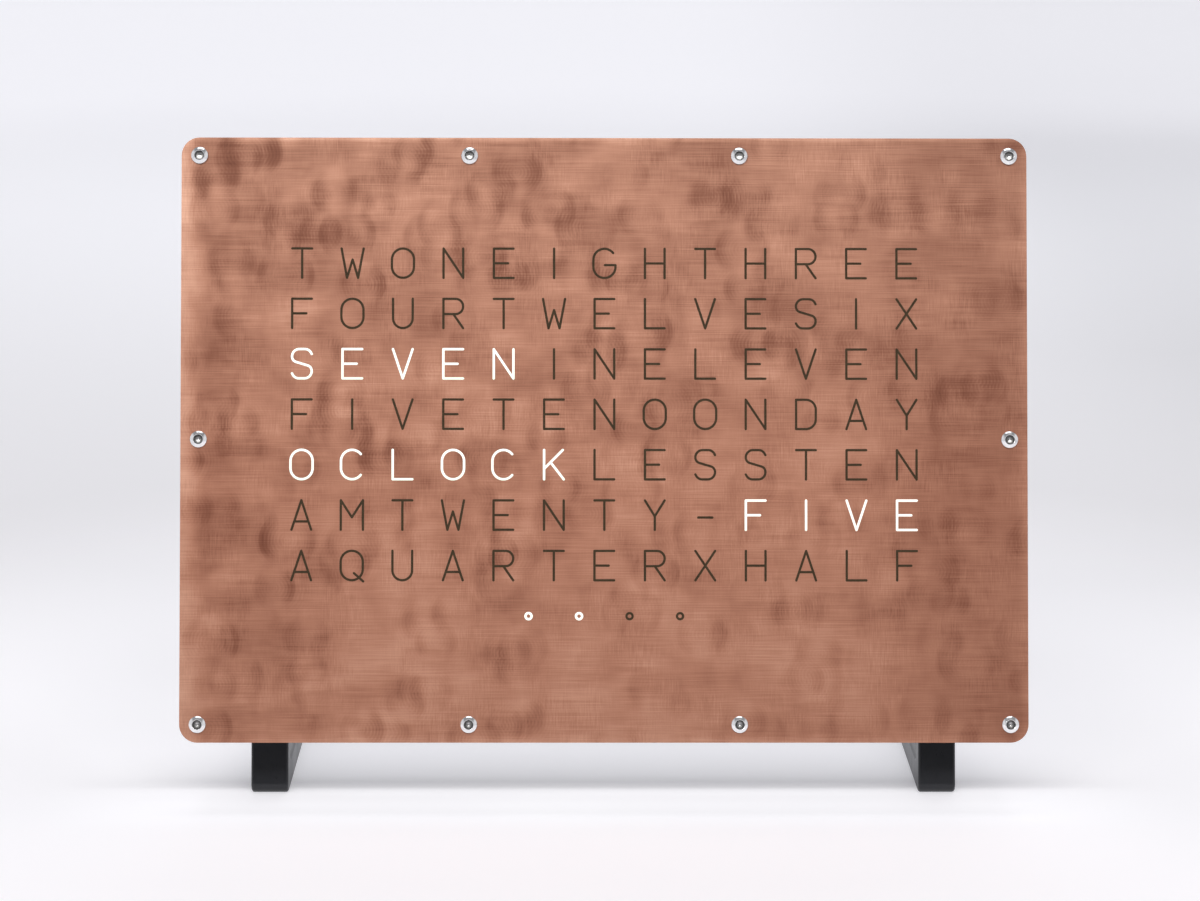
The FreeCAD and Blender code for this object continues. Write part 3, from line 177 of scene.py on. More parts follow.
class Finish(Wiring):
    """A material with its own shader; its patterns follow the object's own coordinates."""

    def __init__(self, name, **plain):
        self.material = bpy.data.materials.new(name)
        self.material.use_nodes = True
        super().__init__(self.material.node_tree)
        self.shader = self.tree.nodes["Principled BSDF"]
        self.place = self.tree.nodes.new("ShaderNodeTexCoord").outputs["Object"]
        for socket, value in plain.items():
            self.set(socket.replace("_", " "), value)

    def set(self, socket, value):
        self.put(self.shader.inputs[socket], value)

    def face_place(self):
        """Across, up and front-to-back places on the leaning face, from its middle, in metres."""
        middle_y = FACE_Y + FACE_HEIGHT / 2 * math.sin(LEAN)
        middle_z = FACE_Z + FACE_HEIGHT / 2 * math.cos(LEAN)
        centred = self.vector("SUBTRACT", self.place, (0.0, middle_y, middle_z))
        turned = self.node("ShaderNodeMapping", {
            "Vector": centred, "Rotation": (LEAN - math.pi / 2, 0.0, 0.0)})
        return turned.outputs["Vector"]


def part_way(pair, share):
    """The value a share of the way from the first of a pair to the second."""
    return pair[0] + (pair[1] - pair[0]) * share


def new_group(name, inputs, outputs):
    """An empty node group with named sockets, and its wiring, inlet sockets and outlet node."""
    tree = bpy.data.node_groups.new(name, "ShaderNodeTree")
    for socket, kind in inputs:
        tree.interface.new_socket(socket, in_out="INPUT", socket_type="NodeSocket" + kind)
    for socket, kind in outputs:
        tree.interface.new_socket(socket, in_out="OUTPUT", socket_type="NodeSocket" + kind)
    inlet = tree.nodes.new("NodeGroupInput")
    outlet = tree.nodes.new("NodeGroupOutput")
    return tree, Wiring(tree), inlet.outputs, outlet


# ---- shared effects ------------------------------------------------------------------
# Ramps, here and below, are (from, to, value at the first, value at the second), and those
# that give no values go from 0 to 1.
LINE_LAYERS = ((1.0, 0.0), (0.37, 5.3))
CELL_JITTER = 0.8
CELL_BORDER = (0.0, 0.1)
MARK_SIZE_RAMP = (0.0, 1.0, 0.72, 1.18)
MARK_STRENGTH_RAMP = (0.1, 1.0, 0.15, 1.0)
MARK_LOPSIDED_RAMP = (-0.5, 0.5, 0.35, 1.15)
OUTER_STEEPNESS = 1.9
INNER_STEEPNESS = 0.85
ENDS_SHARE = 0.35
SCRATCH_STEP = 0.0011
SCRATCH_WANDER = 0.0009
SCRATCH_WANDER_SCALE = 250.0
SCRATCH_FADE_RAMP = (0.004, 0.016, 1.0, 0.0)


def brushed_lines_group():
    """Fine straight brush lines: noise stretched along the first axis, on two scales."""
    tree, w, given, outlet = new_group(
        "brushed_lines",
        [("Vector", "Vector"), ("Length", "Float"), ("Width", "Float")],
        [("Lines", "Float")])
    x, y, z = w.parts(given["Vector"])
    along = w.math("DIVIDE", x, given["Length"])
    layers = []
    for share, shift in LINE_LAYERS:
        width = w.math("MULTIPLY", given["Width"], share)
        across = w.math("ADD", w.math("DIVIDE", y, width), shift)
        depth = w.math("DIVIDE", z, width)
        place = w.node("ShaderNodeCombineXYZ", {"X": along, "Y": across, "Z": depth})
        layers.append(w.noise(place.outputs[0], 1.0, 2.0, 0.6))
    mean = w.math("MULTIPLY", w.math("ADD", layers[0], layers[1]), 0.5)
    w.put(outlet.inputs["Lines"], mean)
    return tree


def sanding_swirls_group():
    """Marks of a small round sander, one in each cell of a jittered grid. Each mark is a soft
    ring round its own middle, crisper on its outer side, with a painted sheen: painted darker
    at the left and the right, where its scratches run up and down, and lighter at its top and
    bottom, as round scratches reflect the light.
    The first output, the marks with their painted sheen, = strength * exp(-off^2) *
    (cos(angle)^2 - ENDS_SHARE * sin(angle)^2), where off is (r - ring) / width, times
    OUTER_STEEPNESS outside the ring and INNER_STEEPNESS inside it.
    Rings = a sine of the radius at the left and the right, for the scratches themselves."""
    tree, w, given, outlet = new_group(
        "sanding_swirls",
        [("Vector", "Vector"), ("Spacing", "Float"), ("Shift", "Vector"), ("Ring", "Float"),
         ("Width", "Float")],
        [("Marks_And_Sheen", "Float"), ("Rings", "Float")])
    scale = w.math("DIVIDE", 1.0, given["Spacing"])
    moved = w.vector("ADD", given["Vector"], given["Shift"])
    cells = {"Vector": moved, "Scale": scale, "Randomness": CELL_JITTER}
    nearest = w.node("ShaderNodeTexVoronoi", cells, voronoi_dimensions="2D")
    border = w.node("ShaderNodeTexVoronoi", cells, voronoi_dimensions="2D",
                    feature="DISTANCE_TO_EDGE")
    flat = w.vector("MULTIPLY", moved, (1.0, 1.0, 0.0))
    away = w.vector("SUBTRACT", flat, nearest.outputs["Position"])
    radius = w.vector("LENGTH", away)
    cosine = w.math("DIVIDE", w.parts(away)[0], w.math("ADD", radius, 1e-6))
    first, second, third = w.node("ShaderNodeSeparateColor",
                                  {"Color": nearest.outputs["Color"]}).outputs
    ring = w.math("MULTIPLY", given["Ring"], w.span(first, *MARK_SIZE_RAMP))
    off = w.math("DIVIDE", w.math("SUBTRACT", radius, ring), given["Width"])
    off = w.math("MAXIMUM", w.math("MULTIPLY", off, OUTER_STEEPNESS),
                 w.math("MULTIPLY", off, -INNER_STEEPNESS))
    hill = w.math("EXPONENT", w.math("MULTIPLY", w.math("MULTIPLY", off, off), -1.0))
    # The painted sheen: darker at the mark's left and right, lighter at its top and bottom.
    sides = w.math("MULTIPLY", cosine, cosine)
    ends = w.math("SUBTRACT", 1.0, sides)
    turned = w.math("SUBTRACT", sides, w.math("MULTIPLY", ends, ENDS_SHARE))
    one_sided = w.math("MULTIPLY", cosine, w.math("SUBTRACT", second, 0.5))
    lopsided = w.span(one_sided, *MARK_LOPSIDED_RAMP)
    strength = w.math("MULTIPLY", w.span(third, *MARK_STRENGTH_RAMP), lopsided)
    inside = w.math("MULTIPLY", strength,
                    w.span(border.outputs["Distance"], *CELL_BORDER, smooth=True))
    w.put(outlet.inputs["Marks_And_Sheen"], w.math("MULTIPLY", w.math("MULTIPLY", hill, turned), inside))
    wander = w.math("MULTIPLY", w.noise(moved, SCRATCH_WANDER_SCALE, 1.0), SCRATCH_WANDER)
    turns = w.math("MULTIPLY", w.math("ADD", radius, wander), 2 * math.pi / SCRATCH_STEP)
    waves = w.math("SINE", turns)
    fade = w.math("MULTIPLY", w.span(radius, *SCRATCH_FADE_RAMP, smooth=True), inside)
    fade = w.math("MULTIPLY", fade, sides)
    w.put(outlet.inputs["Rings"], w.math("MULTIPLY", waves, fade))
    return tree


def grain_group():
    """Moulded or cast skin: small pits on a slow unevenness."""
    tree, w, given, outlet = new_group(
        "moulded_grain", [("Vector", "Vector"), ("Size", "Float")],
        [("Grain", "Float"), ("Unevenness", "Float")])
    scale = w.math("DIVIDE", 1.0, given["Size"])
    w.put(outlet.inputs["Grain"], w.noise(given["Vector"], scale, 3.0, 0.65))
    slow = w.math("MULTIPLY", scale, 0.04)
    w.put(outlet.inputs["Unevenness"], w.noise(given["Vector"], slow, 4.0, 0.55, 0.3))
    return tree


def smudges_group():
    """Faint marks of handling: broad soft patches and a few small specks."""
    tree, w, given, outlet = new_group(
        "smudges", [("Vector", "Vector"), ("Size", "Float")],
        [("Patches", "Float"), ("Specks", "Float")])
    scale = w.math("DIVIDE", 1.0, given["Size"])
    w.put(outlet.inputs["Patches"], w.span(w.noise(given["Vector"], scale, 3.0, 0.5, 0.8),
                                           0.35, 0.7, smooth=True))
    specks = w.noise(given["Vector"], w.math("MULTIPLY", scale, 40.0), 1.0, 0.5)
    w.put(outlet.inputs["Specks"], w.span(specks, 0.68, 0.78, smooth=True))
    return tree


BRUSHED = brushed_lines_group()
SWIRLS = sanding_swirls_group()
GRAIN = grain_group()
SMUDGES = smudges_group()

# ---- finishes ------------------------------------------------------------------------
# What the lamps light: the row, and the first and last column, of each lit word.
LIT_WORDS = ((2, 0, 4), (4, 0, 5), (5, 9, 12))
MINUTE_ROW = ROWS - 1
LIT_MINUTES = 2
MINUTE_DOTS = 4
LETTER_GLOW = 1.25
LAMP_GLOW = 1.5
# A lit letter is brightest at this share of its cell's height, and warmer at the right.
GLOW_MIDDLE = 0.62
WARMER_RIGHT = (0.0, 0.08)
RECESS = "recess"

# Slow unevenness of the copper: how fast it changes along each axis, and how much it counts.
COPPER_CLOUDS = (
    ((19.0, 36.0, 19.0), 0.60), ((42.0, 80.0, 42.0), 0.75), ((125.0, 100.0, 100.0), 0.32))
# The sander's marks lie in layers. Spacing, ring and width go from the first layer's to the
# last one's, and each next layer is shifted by one more step, across and up.
SWIRL_LAYERS = 10
SWIRL_SPACING = (0.036, 0.046)
SWIRL_RING = (0.0066, 0.0082)
SWIRL_WIDTH = (0.0032, 0.0018)
SWIRL_STEP = (0.137, 0.2113)
SWIRL_START = (0.004, 0.0071)
SCRATCH_AMOUNT = 0.055
SWIRL_GAIN = 1.15
SWIRL_AMOUNT = 0.33
# The marks are stronger at the left than at the right.
MARKS_BY_SIDE = (-0.07, 0.11, 1.08, 0.66)
MEAN_TONE = 0.545
BRUSH_AMOUNT = 0.95
# Short strokes the other way, in patches.
HATCH_PATCHES = (0.42, 0.62, 0.2, 0.85)
HATCH_PATCH_SCALE = 60.0
# The face's sides are painted darker, a painted shade that is strongest low down, and its top
# is painted a little darker too. Its very edges have painted highlights, and the left one's
# bright band is the widest.
SIDES_MIDDLE = -0.008
SIDES_PAINTED_SHADE = (0.07, 0.14)
SIDES_BY_HEIGHT = (-0.02, 0.08, 0.26, 0.06)
PAINTED_SHADE_BY_HEIGHT = (-FACE_HEIGHT / 2, FACE_HEIGHT / 2, -0.07, 0.23)
LEFT_EDGE = (-FACE_WIDTH / 2, -FACE_WIDTH / 2 + 0.010, 0.50, 0.0)
RIGHT_EDGE = (FACE_WIDTH / 2 - 0.004, FACE_WIDTH / 2, 0.0, 0.15)
TOP_EDGE = (FACE_HEIGHT / 2 - 0.002, FACE_HEIGHT / 2, 0.0, 0.3)
BOTTOM_EDGE = (-FACE_HEIGHT / 2, -FACE_HEIGHT / 2 + 0.003, 0.2, 0.0)
TONE_RANGE = (-0.3, 1.3)
COPPER_TONES = (
    (0.0, (0.150, 0.054, 0.035)), (0.19, (0.235, 0.093, 0.060)), (0.50, (0.436, 0.206, 0.137)),
    (0.81, (0.620, 0.336, 0.236)), (1.0, (0.740, 0.445, 0.330)))
# A painted sheen: the face's upper part is painted paler and bluer, more so towards its top.
PAINTED_SHEEN_TINT = (0.99, 1.09, 1.13)
SHEEN_FROM = -0.02


def lit_mask(w, place):
    """One inside the cells of the lit words and minute dots, zero elsewhere."""
    across, up, _ = w.parts(place)
    column = w.math("FLOOR", w.math("ADD", w.math("DIVIDE", across, LETTER_PITCH), COLUMNS / 2))
    row = w.math("FLOOR", w.math("SUBTRACT", ROWS / 2, w.math("DIVIDE", up, LETTER_PITCH)))
    mask = None
    for lit_row, first, last in LIT_WORDS:
        after = w.math("GREATER_THAN", column, first - 0.5)
        before = w.math("LESS_THAN", column, last + 0.5)
        same = w.math("LESS_THAN", w.math("ABSOLUTE", w.math("SUBTRACT", row, float(lit_row))), 0.5)
        word = w.math("MULTIPLY", same, w.math("MULTIPLY", after, before))
        mask = word if mask is None else w.math("MAXIMUM", mask, word)
    dots_start = -MINUTE_DOTS / 2 * LETTER_PITCH
    after = w.math("GREATER_THAN", across, dots_start)
    before = w.math("LESS_THAN", across, dots_start + LIT_MINUTES * LETTER_PITCH)
    low = w.math("GREATER_THAN", row, MINUTE_ROW - 0.5)
    dots = w.math("MULTIPLY", low, w.math("MULTIPLY", after, before))
    return w.math("MAXIMUM", mask, dots)


def sanded_tone_and_sheen(w, face):
    """How light the sanded copper is: slow clouds and fine scratches, less the marks with their painted sheen."""
    clouds = 0.0
    for sizes, amount in COPPER_CLOUDS:
        cloud = w.noise(w.vector("MULTIPLY", face, sizes), 1.0, 2.0, 0.5, 0.3)
        clouds = w.math("ADD", clouds, w.math("MULTIPLY", w.math("SUBTRACT", cloud, 0.5), amount))
    # The sander's marks with their painted sheen, summed over the layers.
    shade = 0.0
    for layer in range(SWIRL_LAYERS):
        share = layer / (SWIRL_LAYERS - 1)
        shift = [step * layer + start for step, start in zip(SWIRL_STEP, SWIRL_START)]
        swirl = w.group(SWIRLS, {
            "Vector": face, "Shift": (*shift, 0.0), "Spacing": part_way(SWIRL_SPACING, share),
            "Ring": part_way(SWIRL_RING, share), "Width": part_way(SWIRL_WIDTH, share)})
        shade = w.math("ADD", shade, swirl["Marks_And_Sheen"])
        clouds = w.math("ADD", clouds, w.math("MULTIPLY", swirl["Rings"], SCRATCH_AMOUNT))
    shade = w.math("TANH", w.math("MULTIPLY", shade, SWIRL_GAIN))
    return w.math("SUBTRACT", clouds, w.math("MULTIPLY", shade, SWIRL_AMOUNT))


def brushed_strokes(w, face, lines):
    """What the long brush lines, and short strokes across them in patches, add to the tone."""
    along = w.math("MULTIPLY", w.math("SUBTRACT", lines, 0.5), BRUSH_AMOUNT)
    turned = w.node("ShaderNodeMapping", {"Vector": face, "Rotation": (0.0, 0.0, math.pi / 2)})
    cross = w.group(BRUSHED, {"Vector": turned.outputs[0], "Length": 0.006, "Width": 0.00045})
    patches = w.span(w.noise(face, HATCH_PATCH_SCALE, 1.0, 0.5), *HATCH_PATCHES, smooth=True)
    hatch = w.math("MULTIPLY", w.math("SUBTRACT", cross["Lines"], 0.5), patches)
    return w.math("ADD", along, hatch)


def painted_shade_and_highlights(w, across, up):
    """What the copper's painted shade on its sides and top, and the painted highlights on its edges, add to the
    tone.
    """
    # Painted shade on the sides and the top.
    off_middle = w.math("ABSOLUTE", w.math("SUBTRACT", across, SIDES_MIDDLE))
    sides = w.math("MULTIPLY", w.span(off_middle, *SIDES_PAINTED_SHADE, smooth=True),
                   w.span(up, *SIDES_BY_HEIGHT))
    darker = w.math("ADD", sides, w.span(up, *PAINTED_SHADE_BY_HEIGHT))
    # Painted highlights along the very edges.
    brighter = 0.0
    for place, ramp in ((across, LEFT_EDGE), (across, RIGHT_EDGE), (up, TOP_EDGE),
                        (up, BOTTOM_EDGE)):
        brighter = w.math("ADD", brighter, w.span(place, *ramp, smooth=True))
    return w.math("SUBTRACT", brighter, darker)


def bare_copper():
    """Bare copper, sanded with a small round pad and then brushed from side to side, with painted shade,
    highlights and sheen in its tone.
    """
    w = Finish("bare_copper", Metallic=1.0)
    face = w.face_place()
    across, up, _ = w.parts(face)
    uneven = w.math("MULTIPLY", sanded_tone_and_sheen(w, face), w.span(across, *MARKS_BY_SIDE))
    lines = w.group(BRUSHED, {"Vector": face, "Length": 0.022, "Width": 0.00042})["Lines"]
    tone = w.math("ADD", w.math("ADD", uneven, MEAN_TONE), brushed_strokes(w, face, lines))
    # Painted shade on the sides and top, and painted highlights on the edges.
    tone = w.math("ADD", tone, painted_shade_and_highlights(w, across, up))
    colour = w.tones(w.span(tone, *TONE_RANGE), COPPER_TONES)
    # Painted sheen: paler and bluer towards the top.
    pale = w.vector("MULTIPLY", colour, PAINTED_SHEEN_TINT)
    w.set("Base Color", w.mix(w.span(up, SHEEN_FROM, FACE_HEIGHT / 2), colour, pale))
    w.set("Roughness", w.span(tone, 0.0, 1.0, 0.58, 0.48))
    w.set("Normal", w.bump(lines, 0.00002, 0.4))
    return w.material


def fibreglass():
    """Glass-fibre laminate: dark olive in the letters, with a painted white glow where a lamp is behind it."""
    w = Finish("fibreglass", Roughness=0.6, Specular_IOR_Level=0.15)
    face = w.face_place()
    weave = w.noise(w.vector("MULTIPLY", face, (900.0, 900.0, 900.0)), 1.0, 2.0, 0.5)
    bundles = w.noise(face, 180.0, 2.0, 0.5)
    shade = w.math("ADD", w.math("MULTIPLY", weave, 0.6), w.math("MULTIPLY", bundles, 0.4))
    w.set("Base Color", w.tones(shade, (
        (0.25, (0.042, 0.027, 0.013)), (0.6, (0.060, 0.041, 0.021)),
        (0.9, (0.085, 0.061, 0.034)))))
    lit = lit_mask(w, face)
    across, up, _ = w.parts(face)
    rows_up = w.math("DIVIDE", w.math("ADD", up, ROWS / 2 * LETTER_PITCH), LETTER_PITCH)
    in_cell = w.math("ABSOLUTE", w.math("SUBTRACT", w.math("FRACT", rows_up), GLOW_MIDDLE))
    glow = w.tones(in_cell, (
        (0.0, (0.97, 1.0, 0.95)), (0.3, (0.93, 1.0, 0.92)), (0.5, (0.78, 0.92, 0.77))))
    warm = w.tones(in_cell, ((0.0, (1.0, 0.99, 0.94)), (0.5, (0.95, 0.92, 0.82))))
    # Painted glow standing in for the lamps' light through the laminate, in the lit cells.
    w.set("Emission Color", w.mix(w.span(across, *WARMER_RIGHT), glow, warm))
    w.set("Emission Strength", w.math("MULTIPLY", lit, LETTER_GLOW))
    w.set("Normal", w.bump(weave, 0.00003, 0.5))
    return w.material


def polished_steel():
    """Polished stainless steel with a fine grain, dull in a screw's socket and painted dark there, a painted
    shade.
    """
    w = Finish("stainless_steel", Metallic=1.0)
    marks = w.group(SMUDGES, {"Vector": w.place, "Size": 0.004})
    grain = w.group(GRAIN, {"Vector": w.place, "Size": 0.00025})
    recess = w.tree.nodes.new("ShaderNodeAttribute")
    recess.attribute_name = RECESS
    inside = recess.outputs["Fac"]
    clean = w.mix(marks["Patches"], (0.93, 0.93, 0.93), (0.82, 0.82, 0.83))
    # Painted shade: the socket's walls and floor are painted dark.
    w.set("Base Color", w.mix(inside, clean, (0.15, 0.145, 0.14)))
    w.set("Roughness", w.math("ADD", w.span(grain["Grain"], 0.3, 0.7, 0.12, 0.22),
                              w.math("MULTIPLY", inside, 0.18)))
    w.set("Normal", w.bump(grain["Grain"], 0.000004, 0.35))
    return w.material


def turned_brass():
    """Turned brass with fine tool lines."""
    w = Finish("insert_brass", Metallic=1.0)
    lines = w.group(BRUSHED, {"Vector": w.place, "Length": 0.002, "Width": 0.00012})["Lines"]
    w.set("Base Color", w.tones(lines, (
        (0.25, (0.46, 0.31, 0.11)), (0.75, (0.72, 0.54, 0.24)))))
    w.set("Roughness", w.span(lines, 0.3, 0.7, 0.42, 0.24))
    w.set("Normal", w.bump(lines, 0.00001, 0.4))
    return w.material


def moulded(name, colour, roughness, grain_size=0.0004, lift=1.6, bump=0.00003):
    """Plastic with a moulded skin: a fine grain, slow unevenness and faint smudges."""
    w = Finish(name)
    grain = w.group(GRAIN, {"Vector": w.place, "Size": grain_size})
    marks = w.group(SMUDGES, {"Vector": w.place, "Size": 0.03})
    light = tuple(min(1.0, part * lift) for part in colour)
    body = w.mix(grain["Unevenness"], colour, light)
    dusted = tuple(min(1.0, part * lift + 0.02) for part in colour)
    w.set("Base Color", w.mix(w.math("MULTIPLY", marks["Specks"], 0.5), body, dusted))
    w.set("Roughness", w.math("ADD", w.span(grain["Grain"], 0.3, 0.7, roughness, roughness + 0.1),
                              w.math("MULTIPLY", marks["Patches"], -0.06)))
    w.set("Normal", w.bump(grain["Grain"], bump, 0.5))
    return w.material


def foot_black():
    """Glossy black bar, with the fine marks of its cutting along the side faces."""
    w = Finish("foot_black")
    marks = w.group(SMUDGES, {"Vector": w.place, "Size": 0.02})
    turned = w.node("ShaderNodeMapping", {
        "Vector": w.place, "Rotation": (0.0, math.pi / 2, 0.0)})
    cuts = w.group(BRUSHED, {"Vector": turned.outputs[0], "Length": 0.03, "Width": 0.0004})
    lines = cuts["Lines"]
    w.set("Base Color", w.tones(lines, (
        (0.3, (0.008, 0.009, 0.012)), (0.7, (0.013, 0.014, 0.019)))))
    w.set("Roughness", w.math("ADD", w.span(lines, 0.3, 0.7, 0.26, 0.38),
                              w.math("MULTIPLY", marks["Patches"], 0.05)))
    w.set("Normal", w.bump(lines, 0.00001, 0.25))
    return w.material


def lamp_white():
    """White lamp packages with a pale yellow window; the lit words' lamps glow."""
    w = Finish("lamp_white", Roughness=0.35)
    face = w.face_place()
    grain = w.group(GRAIN, {"Vector": w.place, "Size": 0.0006})
    w.set("Base Color", w.tones(grain["Grain"], (
        (0.3, (0.80, 0.78, 0.66)), (0.7, (0.90, 0.89, 0.83)))))
    w.set("Emission Color", (1.0, 0.98, 0.92, 1.0))
    w.set("Emission Strength", w.math("MULTIPLY", lit_mask(w, face), LAMP_GLOW))
    return w.material


def board_green():
    """Green solder mask over copper tracks, which show as a paler green."""
    w = Finish("board_green", Roughness=0.35)
    face = w.face_place()
    tracks = w.node("ShaderNodeTexBrick", {
        "Vector": w.vector("MULTIPLY", face, (1.0, 1.0, 0.0)), "Scale": 160.0,
        "Mortar Size": 0.055, "Mortar Smooth": 0.2, "Brick Width": 1.6, "Row Height": 0.31})
    blocks = w.noise(face, 70.0, 1.0, 0.4)
    shown = w.math("MULTIPLY", tracks.outputs["Fac"], w.span(blocks, 0.42, 0.5, smooth=True))
    cloth = w.group(GRAIN, {"Vector": w.place, "Size": 0.0006})
    plain = w.mix(cloth["Grain"], (0.010, 0.085, 0.040), (0.016, 0.120, 0.058))
    w.set("Base Color", w.mix(shown, plain, (0.045, 0.235, 0.105)))
    w.set("Normal", w.bump(shown, 0.00004, 0.6))
    return w.material


def drawn_metal(name, dark, light, shine):
    """Drawn or rolled sheet metal with lines along its length."""
    w = Finish(name, Metallic=1.0)
    lines = w.group(BRUSHED, {"Vector": w.place, "Length": 0.02, "Width": 0.0003})["Lines"]
    marks = w.group(SMUDGES, {"Vector": w.place, "Size": 0.01})
    body = w.tones(lines, ((0.3, dark), (0.7, light)))
    w.set("Base Color", w.mix(w.math("MULTIPLY", marks["Patches"], 0.3), body, dark))
    w.set("Roughness", w.span(lines, 0.3, 0.7, shine + 0.15, shine))
    w.set("Normal", w.bump(lines, 0.00001, 0.3))
    return w.material


FINISHES = {
    "bare_copper": bare_copper(),
    "fibreglass": fibreglass(),
    "stainless_steel": polished_steel(),
    "insert_brass": turned_brass(),
    "case_black": moulded("case_black", (0.014, 0.014, 0.015), 0.50),
    "grid_black": moulded("grid_black", (0.010, 0.010, 0.010), 0.75),
    "strip_black": moulded("strip_black", (0.020, 0.020, 0.024), 0.45, 0.0008),
    "lamp_white": lamp_white(),
    "ribbon_copper": drawn_metal("ribbon_copper", (0.42, 0.20, 0.12), (0.62, 0.33, 0.21), 0.25),
    "board_green": board_green(),
    "can_steel": drawn_metal("can_steel", (0.52, 0.52, 0.54), (0.72, 0.72, 0.74), 0.20),
    "chip_black": moulded("chip_black", (0.018, 0.018, 0.018), 0.55, 0.0002),
    "capacitor_aluminium": drawn_metal("capacitor_aluminium", (0.56, 0.56, 0.58),
                                       (0.76, 0.76, 0.78), 0.30),
    "socket_cream": moulded("socket_cream", (0.70, 0.65, 0.52), 0.40, 0.0005, 1.15),
    "inlet_black": moulded("inlet_black", (0.012, 0.012, 0.012), 0.32, 0.0005),
    "button_black": moulded("button_black", (0.016, 0.016, 0.016), 0.28, 0.0004),
    "foot_black": foot_black(),
    "lead_black": moulded("lead_black", (0.015, 0.015, 0.015), 0.45, 0.0005),
    "lead_grey": moulded("lead_grey", (0.11, 0.11, 0.115), 0.45, 0.0005, 1.3),
}


def dress_nodes():
    """Gives every piece of the frame the finish that the record names for it."""
    for row in frame["record"]["subparts"]:
        shown = NODES[row["node"]]
        shown.data.materials.clear()
        shown.data.materials.append(FINISHES[row["material_slot"]])


dress_nodes()


# ---- screws --------------------------------------------------------------------------
ROUND_SIDES = 48
SIXTH = math.pi / 3
SHARP_ANGLE = math.radians(38)
MM = 0.001
# Shares of the thread's pitch, of the head's height and of the socket's width.
THREAD_DEPTH = 0.6
TIP_DEPTH = 0.62
SEAT_DEPTH = 0.1
RIM_SHARE = 0.50
ROUNDING_SHARE = 0.08
SOCKET_SHARE = 0.64
MOUTH_SHARE = 0.62
DRILL_SHARE = 0.80
# Millimetres: the polished ring round the mouth, and how far down the mouth's edge turns in.
MOUTH_RING = 0.12
MOUTH_LIP = 0.04
LIP_DEPTH = 0.03
BALL_ROWS = 12


def hexagon_reach(turns, flats):
    """From a hexagon's middle to its side, in the direction of each angle: half its width
    across the flats over the cosine of the angle from the nearest flat's middle."""
    return flats / 2 / np.cos((turns + SIXTH / 2) % SIXTH - SIXTH / 2)


def rings_mesh(name, rows, places, back, outward, twist):
    """Many turned pieces as one mesh. A row is (out, reach, inside): how far it stands out of
    the seat, its radius at each angle, and how much it is in a recess, from 0 to 1. Point =
    place + reach * (cosine, sine of the angle, turned by twist for each next place), and
    depth = back + out * outward; then the whole leans back with the clock."""
    out = np.array([row[0] for row in rows]) * MM
    reach = np.array([np.broadcast_to(row[1], ROUND_SIDES) for row in rows]) * MM
    inside = np.array([row[2] for row in rows], dtype=float)
    middles = np.array(places)
    count = len(places)
    angle = np.linspace(0.0, 2 * math.pi, ROUND_SIDES, endpoint=False)
    turned = angle[None, :] + twist * np.arange(count)[:, None]
    across = middles[:, 0, None, None] + reach[None] * np.cos(turned)[:, None, :]
    up = middles[:, 1, None, None] + reach[None] * np.sin(turned)[:, None, :]
    depth = np.broadcast_to((back + out * outward)[None, :, None], across.shape)
    points = np.stack([across, FACE_Y + depth * math.cos(LEAN) + up * math.sin(LEAN),
                       FACE_Z - depth * math.sin(LEAN) + up * math.cos(LEAN)], axis=-1)
    index = np.arange(across.size).reshape(across.shape)
    near, far = index[:, :-1], index[:, 1:]
    quads = np.stack([near, np.roll(near, -1, axis=2), np.roll(far, -1, axis=2), far], axis=-1)
    ends = np.concatenate([index[:, 0, ::-1], index[:, -1]])
    quads = quads.reshape(-1, 4)
    if outward < 0:
        quads, ends = quads[:, ::-1], ends[:, ::-1]
    mesh = bpy.data.meshes.new(name)
    mesh.from_pydata(points.reshape(-1, 3).tolist(), [], quads.tolist() + ends.tolist())
    mesh.shade_smooth()
    mesh.set_sharp_from_angle(angle=SHARP_ANGLE)
    marks = mesh.attributes.new(RECESS, "FLOAT", "POINT")
    marks.data.foreach_set("value", np.broadcast_to(inside[None, :, None], across.shape).ravel())
    return mesh


